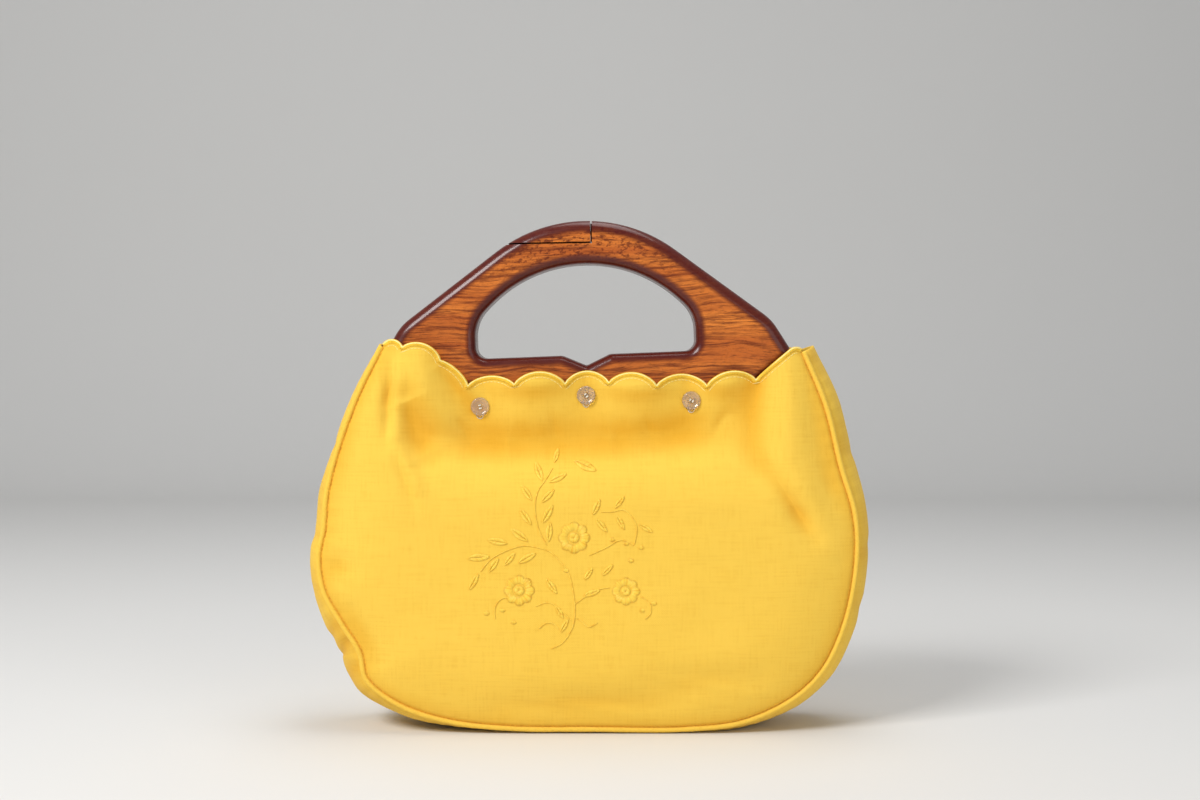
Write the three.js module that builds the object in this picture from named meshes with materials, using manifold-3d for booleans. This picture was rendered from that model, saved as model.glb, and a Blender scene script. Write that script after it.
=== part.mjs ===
// A handbag with two flat wooden handle plates and a buttoned yellow cotton cover.
// Millimetres, +Z up, +X along the bag, -Y towards its front. It stands on its gusset at z = 0.
import * as THREE from "three";
import { mergeVertices } from "three/addons/utils/BufferGeometryUtils.js";
import Module from "manifold-3d";

const wasm = await Module();
wasm.setup();

// Cover
const seamHalfWidth = 156; // middle of the bag to the piping where the bag is widest
const bodyHeight = 224; // floor to the tips of the four horns
const seamHalfDepthLow = 31; // middle of the bag to the piping at the floor
const seamHalfDepthHigh = 23; // middle of the bag to the piping at the horn tips
const clothWall = 1.5; // two layers of cotton
const gussetPuff = 15; // how far the gusset stands outside the piping at its fullest
const bellyPuff = 9; // how far a panel swells in front of its piping
const bellyReach = 45; // how far inside the piping that swelling is full
const foldDepth = 8; // the deepest fold or dent
const pipingRadius = 1.5;
const scallopRise = 7; // the tallest scallop
const edgingRadius = 1.1; // satin stitched rim of the scallops

// Wooden handle plates
const plateThickness = 15;
const plateGap = 1; // daylight between the two plates
const handleHeight = 115.5;
const handleSink = 44; // lower edge of the plates below the horn tips
const handleTilt = THREE.MathUtils.degToRad(0.9); // the right end stands higher
const handleShift = -1; // the plates sit a little left in the cover
const tipOut = 121.5; // middle of a plate to the corner of its end
const tipUp = 34.5; // lower edge of a plate to that corner
const tipRadius = 8;
const footOut = 76; // half the length of the lower edge
const footRadius = 20;
const shoulderOut = 108; // middle of a plate to where its flank turns down
const shoulderRadius = 30;
const crownRadius = 87;
const flankSlope = THREE.MathUtils.degToRad(36.8);
const outerRoundover = 7;

// Grip hole in each plate
const gripHalfWidth = 64;
const gripShift = -1; // the hole sits a little left in the wood
const gripFloor = 37.5; // lower edge of a plate to the floor of the hole
const crownBand = 25.2; // wood between the hole and the top of the plates
const gripCrownRadius = 79;
const gripFlankSlope = THREE.MathUtils.degToRad(44);
const gripShoulderRadius = 22;
const gripCornerRadius = 6.5;
const gripTurn = THREE.MathUtils.degToRad(1.3); // and a little turned
const gripRoundover = 5.5;
const dipHalfWidth = 14; // notch in the middle of the floor
const dipDepth = 6.3;
const dipRadius = 2.5;

// Half-lap hinge at the top of the plates
const splitOut = 3.5; // middle of the plates to the upright split
const lapHeight = 12.9; // top of the plates down to the level split
const lapGap = 0.9;
const pinRadius = 1.5;
const pinLength = 38;

// Buttons
const buttonRadius = 5.5;
const buttonThickness = 2.4;
const threadRadius = 1.1;

const clearance = 0.3; // between pieces that touch
const clothClearance = 1.2; // between a panel and the wood behind it

// How finely round shapes are cut
const seamSteps = 42;
const panelRows = 11;
const scallopSteps = 5;
const roundSides = 12;
const arcStep = THREE.MathUtils.degToRad(12);
const bevelSteps = 3;
const pipingSides = 6;
const edgingSides = 5;
const threadSides = 8;
const gussetShares = [-1, -0.9, -0.7, -0.4, 0, 0.4, 0.7, 0.9, 1]; // from back seam to front seam

// How round curved sections are: 1 is a parabola, less is fuller towards the sides.
const gussetFullness = 0.7;
const scallopFullness = 0.8;
const rowCrowding = 1.2; // rows of a panel lie closer together by the seam, the more this is over 1

const seamColour = 0xe9b62c;
const clothColour = 0xeebc35;
const edgingColour = 0xf6cf3f;
const woodColour = 0x7d3517;
const buttonColour = 0xd8c8a8;
const threadColour = 0xf3efe2;
const steelColour = 0x9a9a98;

// Section of a button from its back to the middle of its dished face, in shares of
// buttonRadius and buttonThickness.
const buttonSection = [
  { out: 0, up: 0 },
  { out: 0.75, up: 0 },
  { out: 1, up: 0.45 },
  { out: 0.85, up: 1 },
  { out: 0.6, up: 0.7 },
  { out: 0, up: 0.7 },
];

// The seam from one horn tip down round the bottom to the other: out is a share of
// seamHalfWidth, up of bodyHeight, and puff, how full the gusset is there, of gussetPuff.
const seamRows = [
  { out: -0.769, up: 0.993, puff: 0.2 },
  { out: -0.859, up: 0.866, puff: 0.27 },
  { out: -0.933, up: 0.723, puff: 0.3 },
  { out: -0.971, up: 0.616, puff: 0.43 },
  { out: -0.982, up: 0.522, puff: 0.47 },
  { out: -1.0, up: 0.455, puff: 0.5 },
  { out: -0.981, up: 0.366, puff: 0.6 },
  { out: -0.913, up: 0.281, puff: 0.9 },
  { out: -0.848, up: 0.208, puff: 1.0 },
  { out: -0.822, up: 0.138, puff: 0.87 },
  { out: -0.699, up: 0.072, puff: 0.6 },
  { out: -0.513, up: 0.03, puff: 0.4 },
  { out: -0.288, up: 0.013, puff: 0.27 },
  { out: 0.0, up: 0.011, puff: 0.27 },
  { out: 0.353, up: 0.011, puff: 0.27 },
  { out: 0.564, up: 0.029, puff: 0.4 },
  { out: 0.75, up: 0.089, puff: 0.6 },
  { out: 0.862, up: 0.165, puff: 0.67 },
  { out: 0.942, up: 0.286, puff: 0.67 },
  { out: 0.985, up: 0.446, puff: 0.64 },
  { out: 0.979, up: 0.562, puff: 0.64 },
  { out: 0.929, up: 0.683, puff: 0.67 },
  { out: 0.874, up: 0.839, puff: 0.64 },
  { out: 0.79, up: 0.98, puff: 0.54 },
];

// The valleys between the scallops, from the left horn to the right one: out and up as above,
// and rise, the height of the scallop that follows, as a share of scallopRise.
const scallopRows = [
  { out: -0.762, up: 0.996, rise: 0.5 },
  { out: -0.688, up: 0.988, rise: 0.85 },
  { out: -0.551, up: 0.955, rise: 0.35 },
  { out: -0.451, up: 0.888, rise: 0.75 },
  { out: -0.277, up: 0.893, rise: 1.0 },
  { out: -0.091, up: 0.894, rise: 1.0 },
  { out: 0.072, up: 0.897, rise: 0.95 },
  { out: 0.246, up: 0.889, rise: 0.95 },
  { out: 0.435, up: 0.889, rise: 0.95 },
  { out: 0.617, up: 0.904, rise: 0.05 },
  { out: 0.735, up: 0.98, rise: 0.2 },
  { out: 0.782, up: 0.983, rise: 0 },
];

// Folds and dents of the front panel: a line from one end to the other in shares of
// seamHalfWidth and bodyHeight, its width as a share of bodyHeight and its depth of foldDepth.
const frontFolds = [
  { fromOut: -0.717, fromUp: 0.963, toOut: -0.731, toUp: 0.788, width: 0.042, depth: -0.75 },
  { fromOut: -0.731, fromUp: 0.788, toOut: -0.647, toUp: 0.615, width: 0.048, depth: -0.62 },
  { fromOut: -0.673, fromUp: 0.945, toOut: -0.684, toUp: 0.754, width: 0.035, depth: 0.38 },
  { fromOut: -0.582, fromUp: 0.958, toOut: -0.56, toUp: 0.862, width: 0.05, depth: 0.5 },
  { fromOut: -0.49, fromUp: 0.856, toOut: -0.465, toUp: 0.78, width: 0.04, depth: -0.38 },
  { fromOut: -0.436, fromUp: 0.793, toOut: 0.44, toUp: 0.793, width: 0.058, depth: -0.62 },
  { fromOut: 0.662, fromUp: 0.945, toOut: 0.48, toUp: 0.821, width: 0.042, depth: -0.75 },
  { fromOut: 0.713, fromUp: 0.92, toOut: 0.549, toUp: 0.78, width: 0.042, depth: 0.5 },
  { fromOut: 0.841, fromUp: 0.895, toOut: 0.896, toUp: 0.653, width: 0.036, depth: -0.38 },
  { fromOut: 0.75, fromUp: 0.805, toOut: 0.75, toUp: 0.68, width: 0.042, depth: 0.38 },
  { fromOut: 0.633, fromUp: 0.742, toOut: 0.703, toUp: 0.625, width: 0.034, depth: -0.5 },
  { fromOut: 0.703, fromUp: 0.625, toOut: 0.812, toUp: 0.529, width: 0.034, depth: -0.38 },
  { fromOut: -0.326, fromUp: 0.074, toOut: 0.33, toUp: 0.086, width: 0.036, depth: -0.5 },
  { fromOut: 0.221, fromUp: 0.125, toOut: 0.604, toUp: 0.145, width: 0.036, depth: -0.44 },
  { fromOut: -0.98, fromUp: 0.433, toOut: -0.891, toUp: 0.424, width: 0.031, depth: -0.38 },
];

// The same for the back panel, which hangs more plainly.
const backFolds = [
  { fromOut: -0.7, fromUp: 0.93, toOut: -0.66, toUp: 0.66, width: 0.045, depth: -0.5 },
  { fromOut: 0.7, fromUp: 0.93, toOut: 0.66, toUp: 0.66, width: 0.045, depth: -0.5 },
  { fromOut: -0.44, fromUp: 0.793, toOut: 0.44, toUp: 0.793, width: 0.058, depth: -0.62 },
  { fromOut: -0.4, fromUp: 0.09, toOut: 0.35, toUp: 0.075, width: 0.04, depth: -0.4 },
];

// How far each panel is drawn in to the wood: the cloth leaves it between hold and free.
const leftHold = { hold: 0.42, free: 0.64 };
const rightHold = { hold: 0.58, free: 0.75 };
const pullStart = 0.58; // share of bodyHeight where a panel starts to lean in to the wood
const pullEnd = 0.87;

// Buttons in shares of seamHalfWidth, and above the lower edge of the plates in shares of
// gripFloor.
const buttonRows = [
  { side: "left", out: -0.406, up: 0.2 },
  { side: "center", out: -0.013, up: 0.376 },
  { side: "right", out: 0.377, up: 0.295 },
];

const woodHalfDepth = plateThickness + plateGap / 2;
const gripHeight = handleHeight - crownBand - gripFloor;
const handleBase = bodyHeight - handleSink;

// A closed triangle list as a solid of the boolean library.
function solidOf(geometry) {
  const bare = geometry.index ? geometry.toNonIndexed() : geometry.clone();
  const placed = new THREE.BufferGeometry().setAttribute("position", bare.getAttribute("position"));
  const merged = mergeVertices(placed, 1e-4);
  return new wasm.Manifold(
    new wasm.Mesh({
      numProp: 3,
      vertProperties: new Float32Array(merged.attributes.position.array),
      triVerts: new Uint32Array(merged.index.array),
    }),
  );
}

// A solid of the boolean library as a mesh geometry.
function geometryOf(solid) {
  const mesh = solid.getMesh();
  const positions = new Float32Array(mesh.numVert * 3);
  for (let vertex = 0; vertex < mesh.numVert; vertex++) {
    const start = vertex * mesh.numProp;
    positions.set(mesh.vertProperties.subarray(start, start + 3), vertex * 3);
  }
  const geometry = new THREE.BufferGeometry();
  geometry.setAttribute("position", new THREE.BufferAttribute(positions, 3));
  geometry.setIndex(new THREE.BufferAttribute(new Uint32Array(mesh.triVerts), 1));
  geometry.computeVertexNormals();
  return geometry;
}

// A wall between two grids of points, closed along its four edges. The first grid is the one
// whose rows and columns turn anticlockwise when seen from outside.
function wallBetween(outer, inner) {
  const points = [];
  const lastColumn = outer.length - 1;
  const lastRow = outer[0].length - 1;
  const triangle = (a, b, c) => {
    if (a.distanceTo(b) > 1e-5 && b.distanceTo(c) > 1e-5 && c.distanceTo(a) > 1e-5) {
      points.push(a, b, c);
    }
  };
  const quad = (a, b, c, d) => {
    triangle(a, b, c);
    triangle(a, c, d);
  };
  for (let column = 0; column < lastColumn; column++) {
    for (let row = 0; row < lastRow; row++) {
      const [p, q] = [outer[column], outer[column + 1]];
      const [s, t] = [inner[column], inner[column + 1]];
      quad(p[row], q[row], q[row + 1], p[row + 1]);
      quad(s[row], s[row + 1], t[row + 1], t[row]);
    }
    const next = column + 1;
    quad(outer[column][0], inner[column][0], inner[next][0], outer[next][0]);
    quad(
      outer[column][lastRow],
      outer[next][lastRow],
      inner[next][lastRow],
      inner[column][lastRow],
    );
  }
  for (let row = 0; row < lastRow; row++) {
    quad(outer[0][row], outer[0][row + 1], inner[0][row + 1], inner[0][row]);
    quad(
      outer[lastColumn][row],
      inner[lastColumn][row],
      inner[lastColumn][row + 1],
      outer[lastColumn][row + 1],
    );
  }
  return new THREE.BufferGeometry().setFromPoints(points);
}

// Corner points with a radius each, turned into an outline with round corners.
function roundedOutline(corners) {
  const outline = [];
  corners.forEach((corner, index) => {
    const here = new THREE.Vector2(corner.x, corner.y);
    const before = corners[(index + corners.length - 1) % corners.length];
    const after = corners[(index + 1) % corners.length];
    const back = new THREE.Vector2(before.x, before.y).sub(here).normalize();
    const ahead = new THREE.Vector2(after.x, after.y).sub(here).normalize();
    const halfAngle = Math.acos(THREE.MathUtils.clamp(back.dot(ahead), -1, 1)) / 2;
    const reach = corner.radius / Math.tan(halfAngle);
    const middle = back.clone().add(ahead).normalize();
    const centre = here.clone().addScaledVector(middle, corner.radius / Math.sin(halfAngle));
    const start = here.clone().addScaledVector(back, reach).sub(centre);
    const end = here.clone().addScaledVector(ahead, reach).sub(centre);
    const turn = Math.atan2(start.cross(end), start.dot(end));
    const steps = Math.max(2, Math.round(Math.abs(turn) / arcStep));
    for (let step = 0; step <= steps; step++) {
      outline.push(
        start
          .clone()
          .rotateAround(new THREE.Vector2(), (turn * step) / steps)
          .add(centre),
      );
    }
  });
  return outline;
}

// The right half of a symmetric outline, from its top corner down to its lowest one, made whole.
function mirrored(corners) {
  const left = corners
    .filter((corner) => corner.x > 0)
    .map((corner) => ({ ...corner, x: -corner.x }))
    .reverse();
  return [...corners, ...left];
}

function upright(geometry) {
  geometry.rotateX(Math.PI / 2);
  return geometry;
}

function boxBetween(low, high) {
  const size = new THREE.Vector3().subVectors(high, low);
  const middle = new THREE.Vector3().addVectors(low, high).multiplyScalar(0.5);
  const geometry = new THREE.BoxGeometry(size.x, size.y, size.z);
  geometry.translate(middle.x, middle.y, middle.z);
  return solidOf(geometry);
}

// Both plates in one block, before they are parted: x along the plate, z up from its lower edge.
function wholeHandle() {
  const crownCorner = handleHeight + crownRadius * (1 / Math.cos(flankSlope) - 1);
  const shoulderUp = crownCorner - Math.tan(flankSlope) * shoulderOut;
  const outline = roundedOutline(
    mirrored([
      { x: 0, y: crownCorner, radius: crownRadius },
      { x: shoulderOut, y: shoulderUp, radius: shoulderRadius },
      { x: tipOut, y: tipUp, radius: tipRadius },
      { x: footOut, y: 0, radius: footRadius },
    ]),
  );
  const body = new THREE.ExtrudeGeometry(new THREE.Shape(outline), {
    depth: 2 * (woodHalfDepth - outerRoundover),
    bevelThickness: outerRoundover,
    bevelSize: outerRoundover,
    bevelOffset: -outerRoundover,
    bevelSegments: bevelSteps,
  });
  body.translate(0, 0, outerRoundover - woodHalfDepth);
  return solidOf(upright(body)).subtract(gripCutter());
}

// The grip hole, which flares at both ends so that the wood's edge is rounded.
function gripCutter() {
  const gripTop = gripFloor + gripHeight;
  const crownCorner = gripTop + gripCrownRadius * (1 / Math.cos(gripFlankSlope) - 1);
  const shoulderUp = crownCorner - Math.tan(gripFlankSlope) * gripHalfWidth;
  const sideRoom = shoulderUp - gripFloor - gripCornerRadius;
  const shoulderLimit = sideRoom * Math.tan(Math.PI / 4 + gripFlankSlope / 2);
  const outline = roundedOutline(
    mirrored([
      { x: 0, y: crownCorner, radius: gripCrownRadius },
      { x: gripHalfWidth, y: shoulderUp, radius: Math.min(gripShoulderRadius, shoulderLimit) },
      { x: gripHalfWidth, y: gripFloor, radius: gripCornerRadius },
      { x: dipHalfWidth, y: gripFloor, radius: gripCornerRadius },
      { x: 0, y: gripFloor - dipDepth, radius: dipRadius },
    ]),
  );
  const middle = new THREE.Vector2(0, gripFloor + gripHeight / 2);
  outline.forEach((point) => point.rotateAround(middle, gripTurn));
  outline.forEach((point) => (point.x += gripShift));
  const passing = 0.05; // the cutter stands this far out of both faces
  const cutter = new THREE.ExtrudeGeometry(new THREE.Shape(outline), {
    depth: 2 * (woodHalfDepth - gripRoundover + passing),
    bevelThickness: gripRoundover,
    bevelSize: -gripRoundover,
    bevelOffset: gripRoundover,
    bevelSegments: bevelSteps,
  });
  cutter.translate(0, 0, gripRoundover - woodHalfDepth - passing);
  return solidOf(upright(cutter));
}

// The knuckle of one plate: the whole thickness of the wood above the level split, on the right
// of the upright split for side 1 and on the left for side -1.
function lapRegion(side, spare) {
  const far = 2 * tipOut;
  const level = handleHeight - lapHeight + lapGap / 2 - spare;
  const near = splitOut + side * (lapGap / 2 - spare);
  const low = new THREE.Vector3(side > 0 ? near : -far, -far, level);
  const high = new THREE.Vector3(side > 0 ? far : near, far, 2 * handleHeight);
  return boxBetween(low, high);
}

function pinGeometry(radius, length) {
  const geometry = new THREE.CylinderGeometry(radius, radius, length, roundSides);
  geometry.rotateZ(Math.PI / 2);
  geometry.translate(splitOut, 0, handleHeight - lapHeight / 2);
  return geometry;
}

// One plate, with its own knuckle through the whole thickness and a notch for the other's.
function handlePlate(front) {
  const whole = wholeHandle();
  const side = front ? 1 : -1;
  const far = 2 * tipOut;
  const low = new THREE.Vector3(-far, front ? -far : plateGap / 2, -far);
  const high = new THREE.Vector3(far, front ? -plateGap / 2 : far, far);
  const half = whole.intersect(boxBetween(low, high)).subtract(lapRegion(-side, lapGap));
  const knuckle = whole.intersect(lapRegion(side, 0));
  const bore = solidOf(pinGeometry(pinRadius + clearance, pinLength + 2 * clearance));
  return geometryOf(half.add(knuckle).subtract(bore));
}

const smoothStep = (from, to, value) => THREE.MathUtils.smoothstep(value, from, to);

// Half the depth of the bag at the piping, for a height above the floor.
function seamHalfDepth(height) {
  const share = smoothStep(0, bodyHeight, height);
  return THREE.MathUtils.lerp(seamHalfDepthLow, seamHalfDepthHigh, share);
}

const lowestPiping = pipingRadius + clearance;
const seamCurve = new THREE.CatmullRomCurve3(
  seamRows.map(
    (row) =>
      new THREE.Vector3(
        row.out * seamHalfWidth,
        0,
        Math.max(row.up * bodyHeight, lowestPiping),
      ),
  ),
);

// The value of a column of the seam's table at a share of its rows.
function seamColumn(column, rowShare) {
  const place = rowShare * (seamRows.length - 1);
  const index = Math.min(Math.floor(place), seamRows.length - 2);
  return THREE.MathUtils.lerp(
    seamRows[index][column],
    seamRows[index + 1][column],
    place - index,
  );
}

// Stations along the seam: a point in the plane of the panels, the way out of the bag there,
// and how full the gusset is.
const stations = [];
for (let step = 0; step <= seamSteps; step++) {
  const share = step / seamSteps;
  const along = seamCurve.getTangentAt(share);
  stations.push({
    point: seamCurve.getPointAt(share),
    outward: new THREE.Vector3(along.z, 0, -along.x),
    puff: gussetPuff * seamColumn("puff", seamCurve.getUtoTmapping(share)),
  });
}
stations.forEach((station) => {
  station.point.z = Math.max(station.point.z, lowestPiping);
});

// The seam in the plane of the panels, run on past the horn tips so that the scallops can be
// cut out of the panel that it bounds.
const runOn = 2 * scallopRise;
const panelBorder = stations.map((station) => station.point.clone());
const firstAlong = panelBorder[0].clone().sub(panelBorder[1]).normalize();
const lastAlong = panelBorder.at(-1).clone().sub(panelBorder.at(-2)).normalize();
const borderOutward = stations.map((station) => station.outward);
panelBorder.unshift(panelBorder[0].clone().addScaledVector(firstAlong, runOn));
borderOutward.unshift(borderOutward[0]);
panelBorder.push(panelBorder.at(-1).clone().addScaledVector(lastAlong, runOn));
borderOutward.push(borderOutward.at(-1));

function distanceToSegment(x, z, from, to) {
  const length = new THREE.Vector2(to.x - from.x, to.z - from.z);
  const offset = new THREE.Vector2(x - from.x, z - from.z);
  const share = THREE.MathUtils.clamp(offset.dot(length) / length.lengthSq(), 0, 1);
  return offset.addScaledVector(length, -share).length();
}

function distanceToSeam(x, z) {
  let nearest = Infinity;
  for (let index = 1; index < panelBorder.length; index++) {
    const distance = distanceToSegment(x, z, panelBorder[index - 1], panelBorder[index]);
    nearest = Math.min(nearest, distance);
  }
  return nearest;
}

// How far the middle of a panel's wall stands from the middle plane of the bag.
function panelDepth(x, z, folds) {
  const distance = distanceToSeam(x, z);
  const slack = 1 - Math.min(distance / bellyReach, 1);
  const belly = seamHalfDepth(z) + bellyPuff * (1 - slack * slack);
  const reach = x < 0 ? leftHold : rightHold;
  const freedom = smoothStep(
    reach.hold * seamHalfWidth,
    reach.free * seamHalfWidth,
    Math.abs(x),
  );
  const pull = (1 - freedom) * smoothStep(pullStart * bodyHeight, pullEnd * bodyHeight, z);
  const onWood = woodHalfDepth + clothClearance + clothWall / 2;
  let depth = THREE.MathUtils.lerp(belly, onWood, pull);
  const edgeFade = Math.min(distance / (2 * foldDepth), 1);
  for (const fold of folds) {
    const from = { x: fold.fromOut * seamHalfWidth, z: fold.fromUp * bodyHeight };
    const to = { x: fold.toOut * seamHalfWidth, z: fold.toUp * bodyHeight };
    const away = distanceToSegment(x, z, from, to) / (fold.width * bodyHeight);
    depth += edgeFade * fold.depth * foldDepth * Math.exp(-away * away);
  }
  const belowWood = Math.max(0, handleBase - outerRoundover - z);
  const alongWood = onWood - belowWood / 2;
  return Math.abs(x) < tipOut ? Math.max(depth, alongWood) : depth;
}

// A point of a panel's wall, side -1 in front and 1 behind, shift millimetres off its middle.
function panelPoint(x, z, side, folds, shift) {
  const probe = 0.5;
  const depth = panelDepth(x, z, folds);
  const fade = Math.min(distanceToSeam(x, z) / bellyReach, 1);
  const slopeX = (panelDepth(x + probe, z, folds) - depth) / probe;
  const slopeZ = (panelDepth(x, z + probe, folds) - depth) / probe;
  const outward = new THREE.Vector3(-slopeX * fade, side, -slopeZ * fade).normalize();
  return new THREE.Vector3(x, side * depth, z).addScaledVector(outward, shift);
}

const valleys = scallopRows.map(
  (row) => new THREE.Vector3(row.out * seamHalfWidth, 0, row.up * bodyHeight),
);

// The scalloped top edge of a panel in the plane of the panels.
function scallopLine() {
  const line = [];
  for (let index = 1; index < valleys.length; index++) {
    const [from, to] = [valleys[index - 1], valleys[index]];
    const across = new THREE.Vector3(from.z - to.z, 0, to.x - from.x).normalize();
    const rise = scallopRise * scallopRows[index - 1].rise;
    for (let step = 0; step < scallopSteps; step++) {
      const share = step / scallopSteps;
      const height = rise * Math.pow(4 * share * (1 - share), scallopFullness);
      line.push(from.clone().lerp(to, share).addScaledVector(across, height));
    }
  }
  line.push(valleys.at(-1).clone());
  return line;
}

// The middle of the satin rim, in the plane of the panels.
const rimCurve = new THREE.CatmullRomCurve3(scallopLine(), false, "centripetal");
const rimSteps = (scallopRows.length - 1) * scallopSteps;
const rimPoints = rimCurve.getSpacedPoints(rimSteps);

// Everything above the lower side of the satin rim, which is cut off a panel.
function aboveRim() {
  const lower = rimPoints.map((point, index) => {
    const before = point.clone().sub(rimPoints[Math.max(index - 1, 0)]).normalize();
    const after = rimPoints[Math.min(index + 1, rimSteps)].clone().sub(point).normalize();
    const along = before.clone().add(after).normalize();
    const halfTurn = Math.max(along.dot(before), along.dot(after));
    const offset = (edgingRadius + clearance) / halfTurn;
    return new THREE.Vector2(point.x + along.z * offset, point.z - along.x * offset);
  });
  const far = 2 * seamHalfWidth;
  const roof = 2 * bodyHeight;
  const outline = [
    new THREE.Vector2(-far, lower[0].y),
    ...lower,
    new THREE.Vector2(far, lower.at(-1).y),
    new THREE.Vector2(far, roof),
    new THREE.Vector2(-far, roof),
  ];
  const cutter = new THREE.ExtrudeGeometry(new THREE.Shape(outline), {
    depth: 2 * far,
    bevelEnabled: false,
  });
  cutter.translate(0, 0, -far);
  return solidOf(upright(cutter));
}

// The wall of a panel as a net from the seam to a line above its scallops.
function panelNet(side, folds, shift) {
  const top = new THREE.CatmullRomCurve3(
    [
      panelBorder[0],
      ...valleys
        .slice(1, -1)
        .map((valley) => valley.clone().add(new THREE.Vector3(0, 0, runOn))),
      panelBorder.at(-1),
    ],
    false,
    "centripetal",
  );
  const inset = pipingRadius + clearance;
  const last = panelBorder.length - 1;
  return panelBorder.map((border, index) => {
    const low = border.clone().addScaledVector(borderOutward[index], -inset);
    const high = top.getPointAt(index / last).addScaledVector(borderOutward[index], -inset);
    const column = [];
    for (let row = 0; row <= panelRows; row++) {
      const share = index === 0 || index === last ? 0 : Math.pow(row / panelRows, rowCrowding);
      const place = low.clone().lerp(high, share);
      column.push(panelPoint(place.x, place.z, side, folds, shift));
    }
    return column;
  });
}

function coverPanel(side, folds) {
  const outside = panelNet(side, folds, clothWall / 2);
  const inside = panelNet(side, folds, -clothWall / 2);
  const wall = side < 0 ? wallBetween(outside, inside) : wallBetween(inside, outside);
  let panel = solidOf(wall).subtract(aboveRim());
  for (const row of buttonRows) {
    const hole = new THREE.CylinderGeometry(
      threadRadius + clearance,
      threadRadius + clearance,
      4 * woodHalfDepth,
      roundSides,
    );
    const place = buttonPlace(row, side, folds);
    hole.translate(place.x, side * 3 * woodHalfDepth, place.z);
    panel = panel.subtract(solidOf(hole));
  }
  return geometryOf(panel);
}

// The side and bottom strip between the two pipings, puffed out and flat on the floor.
function coverGusset() {
  const section = (station, shift) => {
    const halfDepth = seamHalfDepth(station.point.z) - pipingRadius - clearance;
    const floor = shift > 0 ? 0 : clothWall;
    return gussetShares.map((share) => {
      const puff = station.puff * Math.pow(1 - share * share, gussetFullness);
      const point = station.point.clone().addScaledVector(station.outward, puff + shift);
      return new THREE.Vector3(point.x, share * halfDepth, Math.max(point.z, floor));
    });
  };
  const outside = stations.map((station) => section(station, clothWall / 2));
  const inside = stations.map((station) => section(station, -clothWall / 2));
  return geometryOf(solidOf(wallBetween(inside, outside)));
}

// A path whose equal steps fall on the points that it is given.
class StationPath extends THREE.Curve {
  constructor(points) {
    super();
    this.points = points;
  }
  getPoint(share) {
    const last = this.points.length - 1;
    const index = Math.min(Math.floor(share * last + 1e-6), last - 1);
    return this.points[index].clone().lerp(this.points[index + 1], share * last - index);
  }
  getPointAt(share) {
    return this.getPoint(share);
  }
  getTangentAt(share) {
    const half = 0.5 / (this.points.length - 1);
    const before = this.getPoint(Math.max(share - half, 0));
    return this.getPoint(Math.min(share + half, 1)).sub(before).normalize();
  }
}

// A round cord along a chain of points, as many steps as the chain has.
function cordAlong(points, radius, sides) {
  const circle = new THREE.Shape();
  circle.absarc(0, 0, radius, 0, 2 * Math.PI);
  const section = new THREE.Shape(circle.getSpacedPoints(sides).slice(0, sides));
  const cord = new THREE.ExtrudeGeometry(section, {
    steps: points.length - 1,
    extrudePath: new StationPath(points),
  });
  return geometryOf(solidOf(cord));
}

function piping(side) {
  const middle = stations.map(
    ({ point }) => new THREE.Vector3(point.x, side * seamHalfDepth(point.z), point.z),
  );
  return cordAlong(middle, pipingRadius, pipingSides);
}

function scallopEdging(side, folds) {
  const middle = rimPoints.map(
    ({ x, z }) => new THREE.Vector3(x, side * panelDepth(x, z, folds), z),
  );
  return cordAlong(middle, edgingRadius, edgingSides);
}

// The middle of a button's back, which stands clear of the cloth all round.
function buttonPlace(row, side, folds) {
  const x = row.out * seamHalfWidth;
  const z = handleBase + row.up * gripFloor;
  let depth = panelDepth(x, z, folds);
  for (let step = 0; step < roundSides; step++) {
    const angle = (2 * Math.PI * step) / roundSides;
    const [dx, dz] = [buttonRadius * Math.cos(angle), buttonRadius * Math.sin(angle)];
    depth = Math.max(depth, panelDepth(x + dx, z + dz, folds));
  }
  return new THREE.Vector3(x, side * (depth + clothWall / 2 + 2 * clearance), z);
}

// A sew-through button, dished in front, with its back at y = 0 and its face towards side.
function button(side) {
  const profile = buttonSection.map(
    ({ out, up }) => new THREE.Vector2(out * buttonRadius, up * buttonThickness),
  );
  const geometry = new THREE.LatheGeometry(profile, roundSides);
  geometry.rotateX(side < 0 ? Math.PI : 0);
  return geometryOf(solidOf(geometry));
}

// The sewing thread behind a button: one plain post from the wood through the cloth.
function buttonThread(place, side) {
  const from = woodHalfDepth + clearance;
  const length = Math.abs(place.y) - clearance - from;
  const geometry = new THREE.CylinderGeometry(threadRadius, threadRadius, length, threadSides);
  geometry.translate(place.x, side * (from + length / 2), place.z);
  return geometryOf(solidOf(geometry));
}

const cotton = new THREE.MeshStandardMaterial({ color: clothColour, roughness: 0.9 });
const seamCotton = new THREE.MeshStandardMaterial({ color: seamColour, roughness: 0.85 });
const satin = new THREE.MeshStandardMaterial({ color: edgingColour, roughness: 0.55 });
const wood = new THREE.MeshStandardMaterial({ color: woodColour, roughness: 0.25 });
const clearPlastic = new THREE.MeshStandardMaterial({ color: buttonColour, roughness: 0.15 });
const whiteThread = new THREE.MeshStandardMaterial({ color: threadColour, roughness: 0.8 });
const steel = new THREE.MeshStandardMaterial({ color: steelColour, roughness: 0.35, metalness: 1 });

function named(name, geometry, material) {
  const mesh = new THREE.Mesh(geometry, material);
  mesh.name = name;
  return mesh;
}

function handleGroup() {
  const handle = new THREE.Group();
  handle.add(named("handle_front", handlePlate(true), wood));
  handle.add(named("handle_back", handlePlate(false), wood));
  handle.add(named("hinge_pin", geometryOf(solidOf(pinGeometry(pinRadius, pinLength))), steel));
  handle.position.set(handleShift, 0, handleBase);
  handle.rotation.y = -handleTilt;
  return handle;
}

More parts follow.
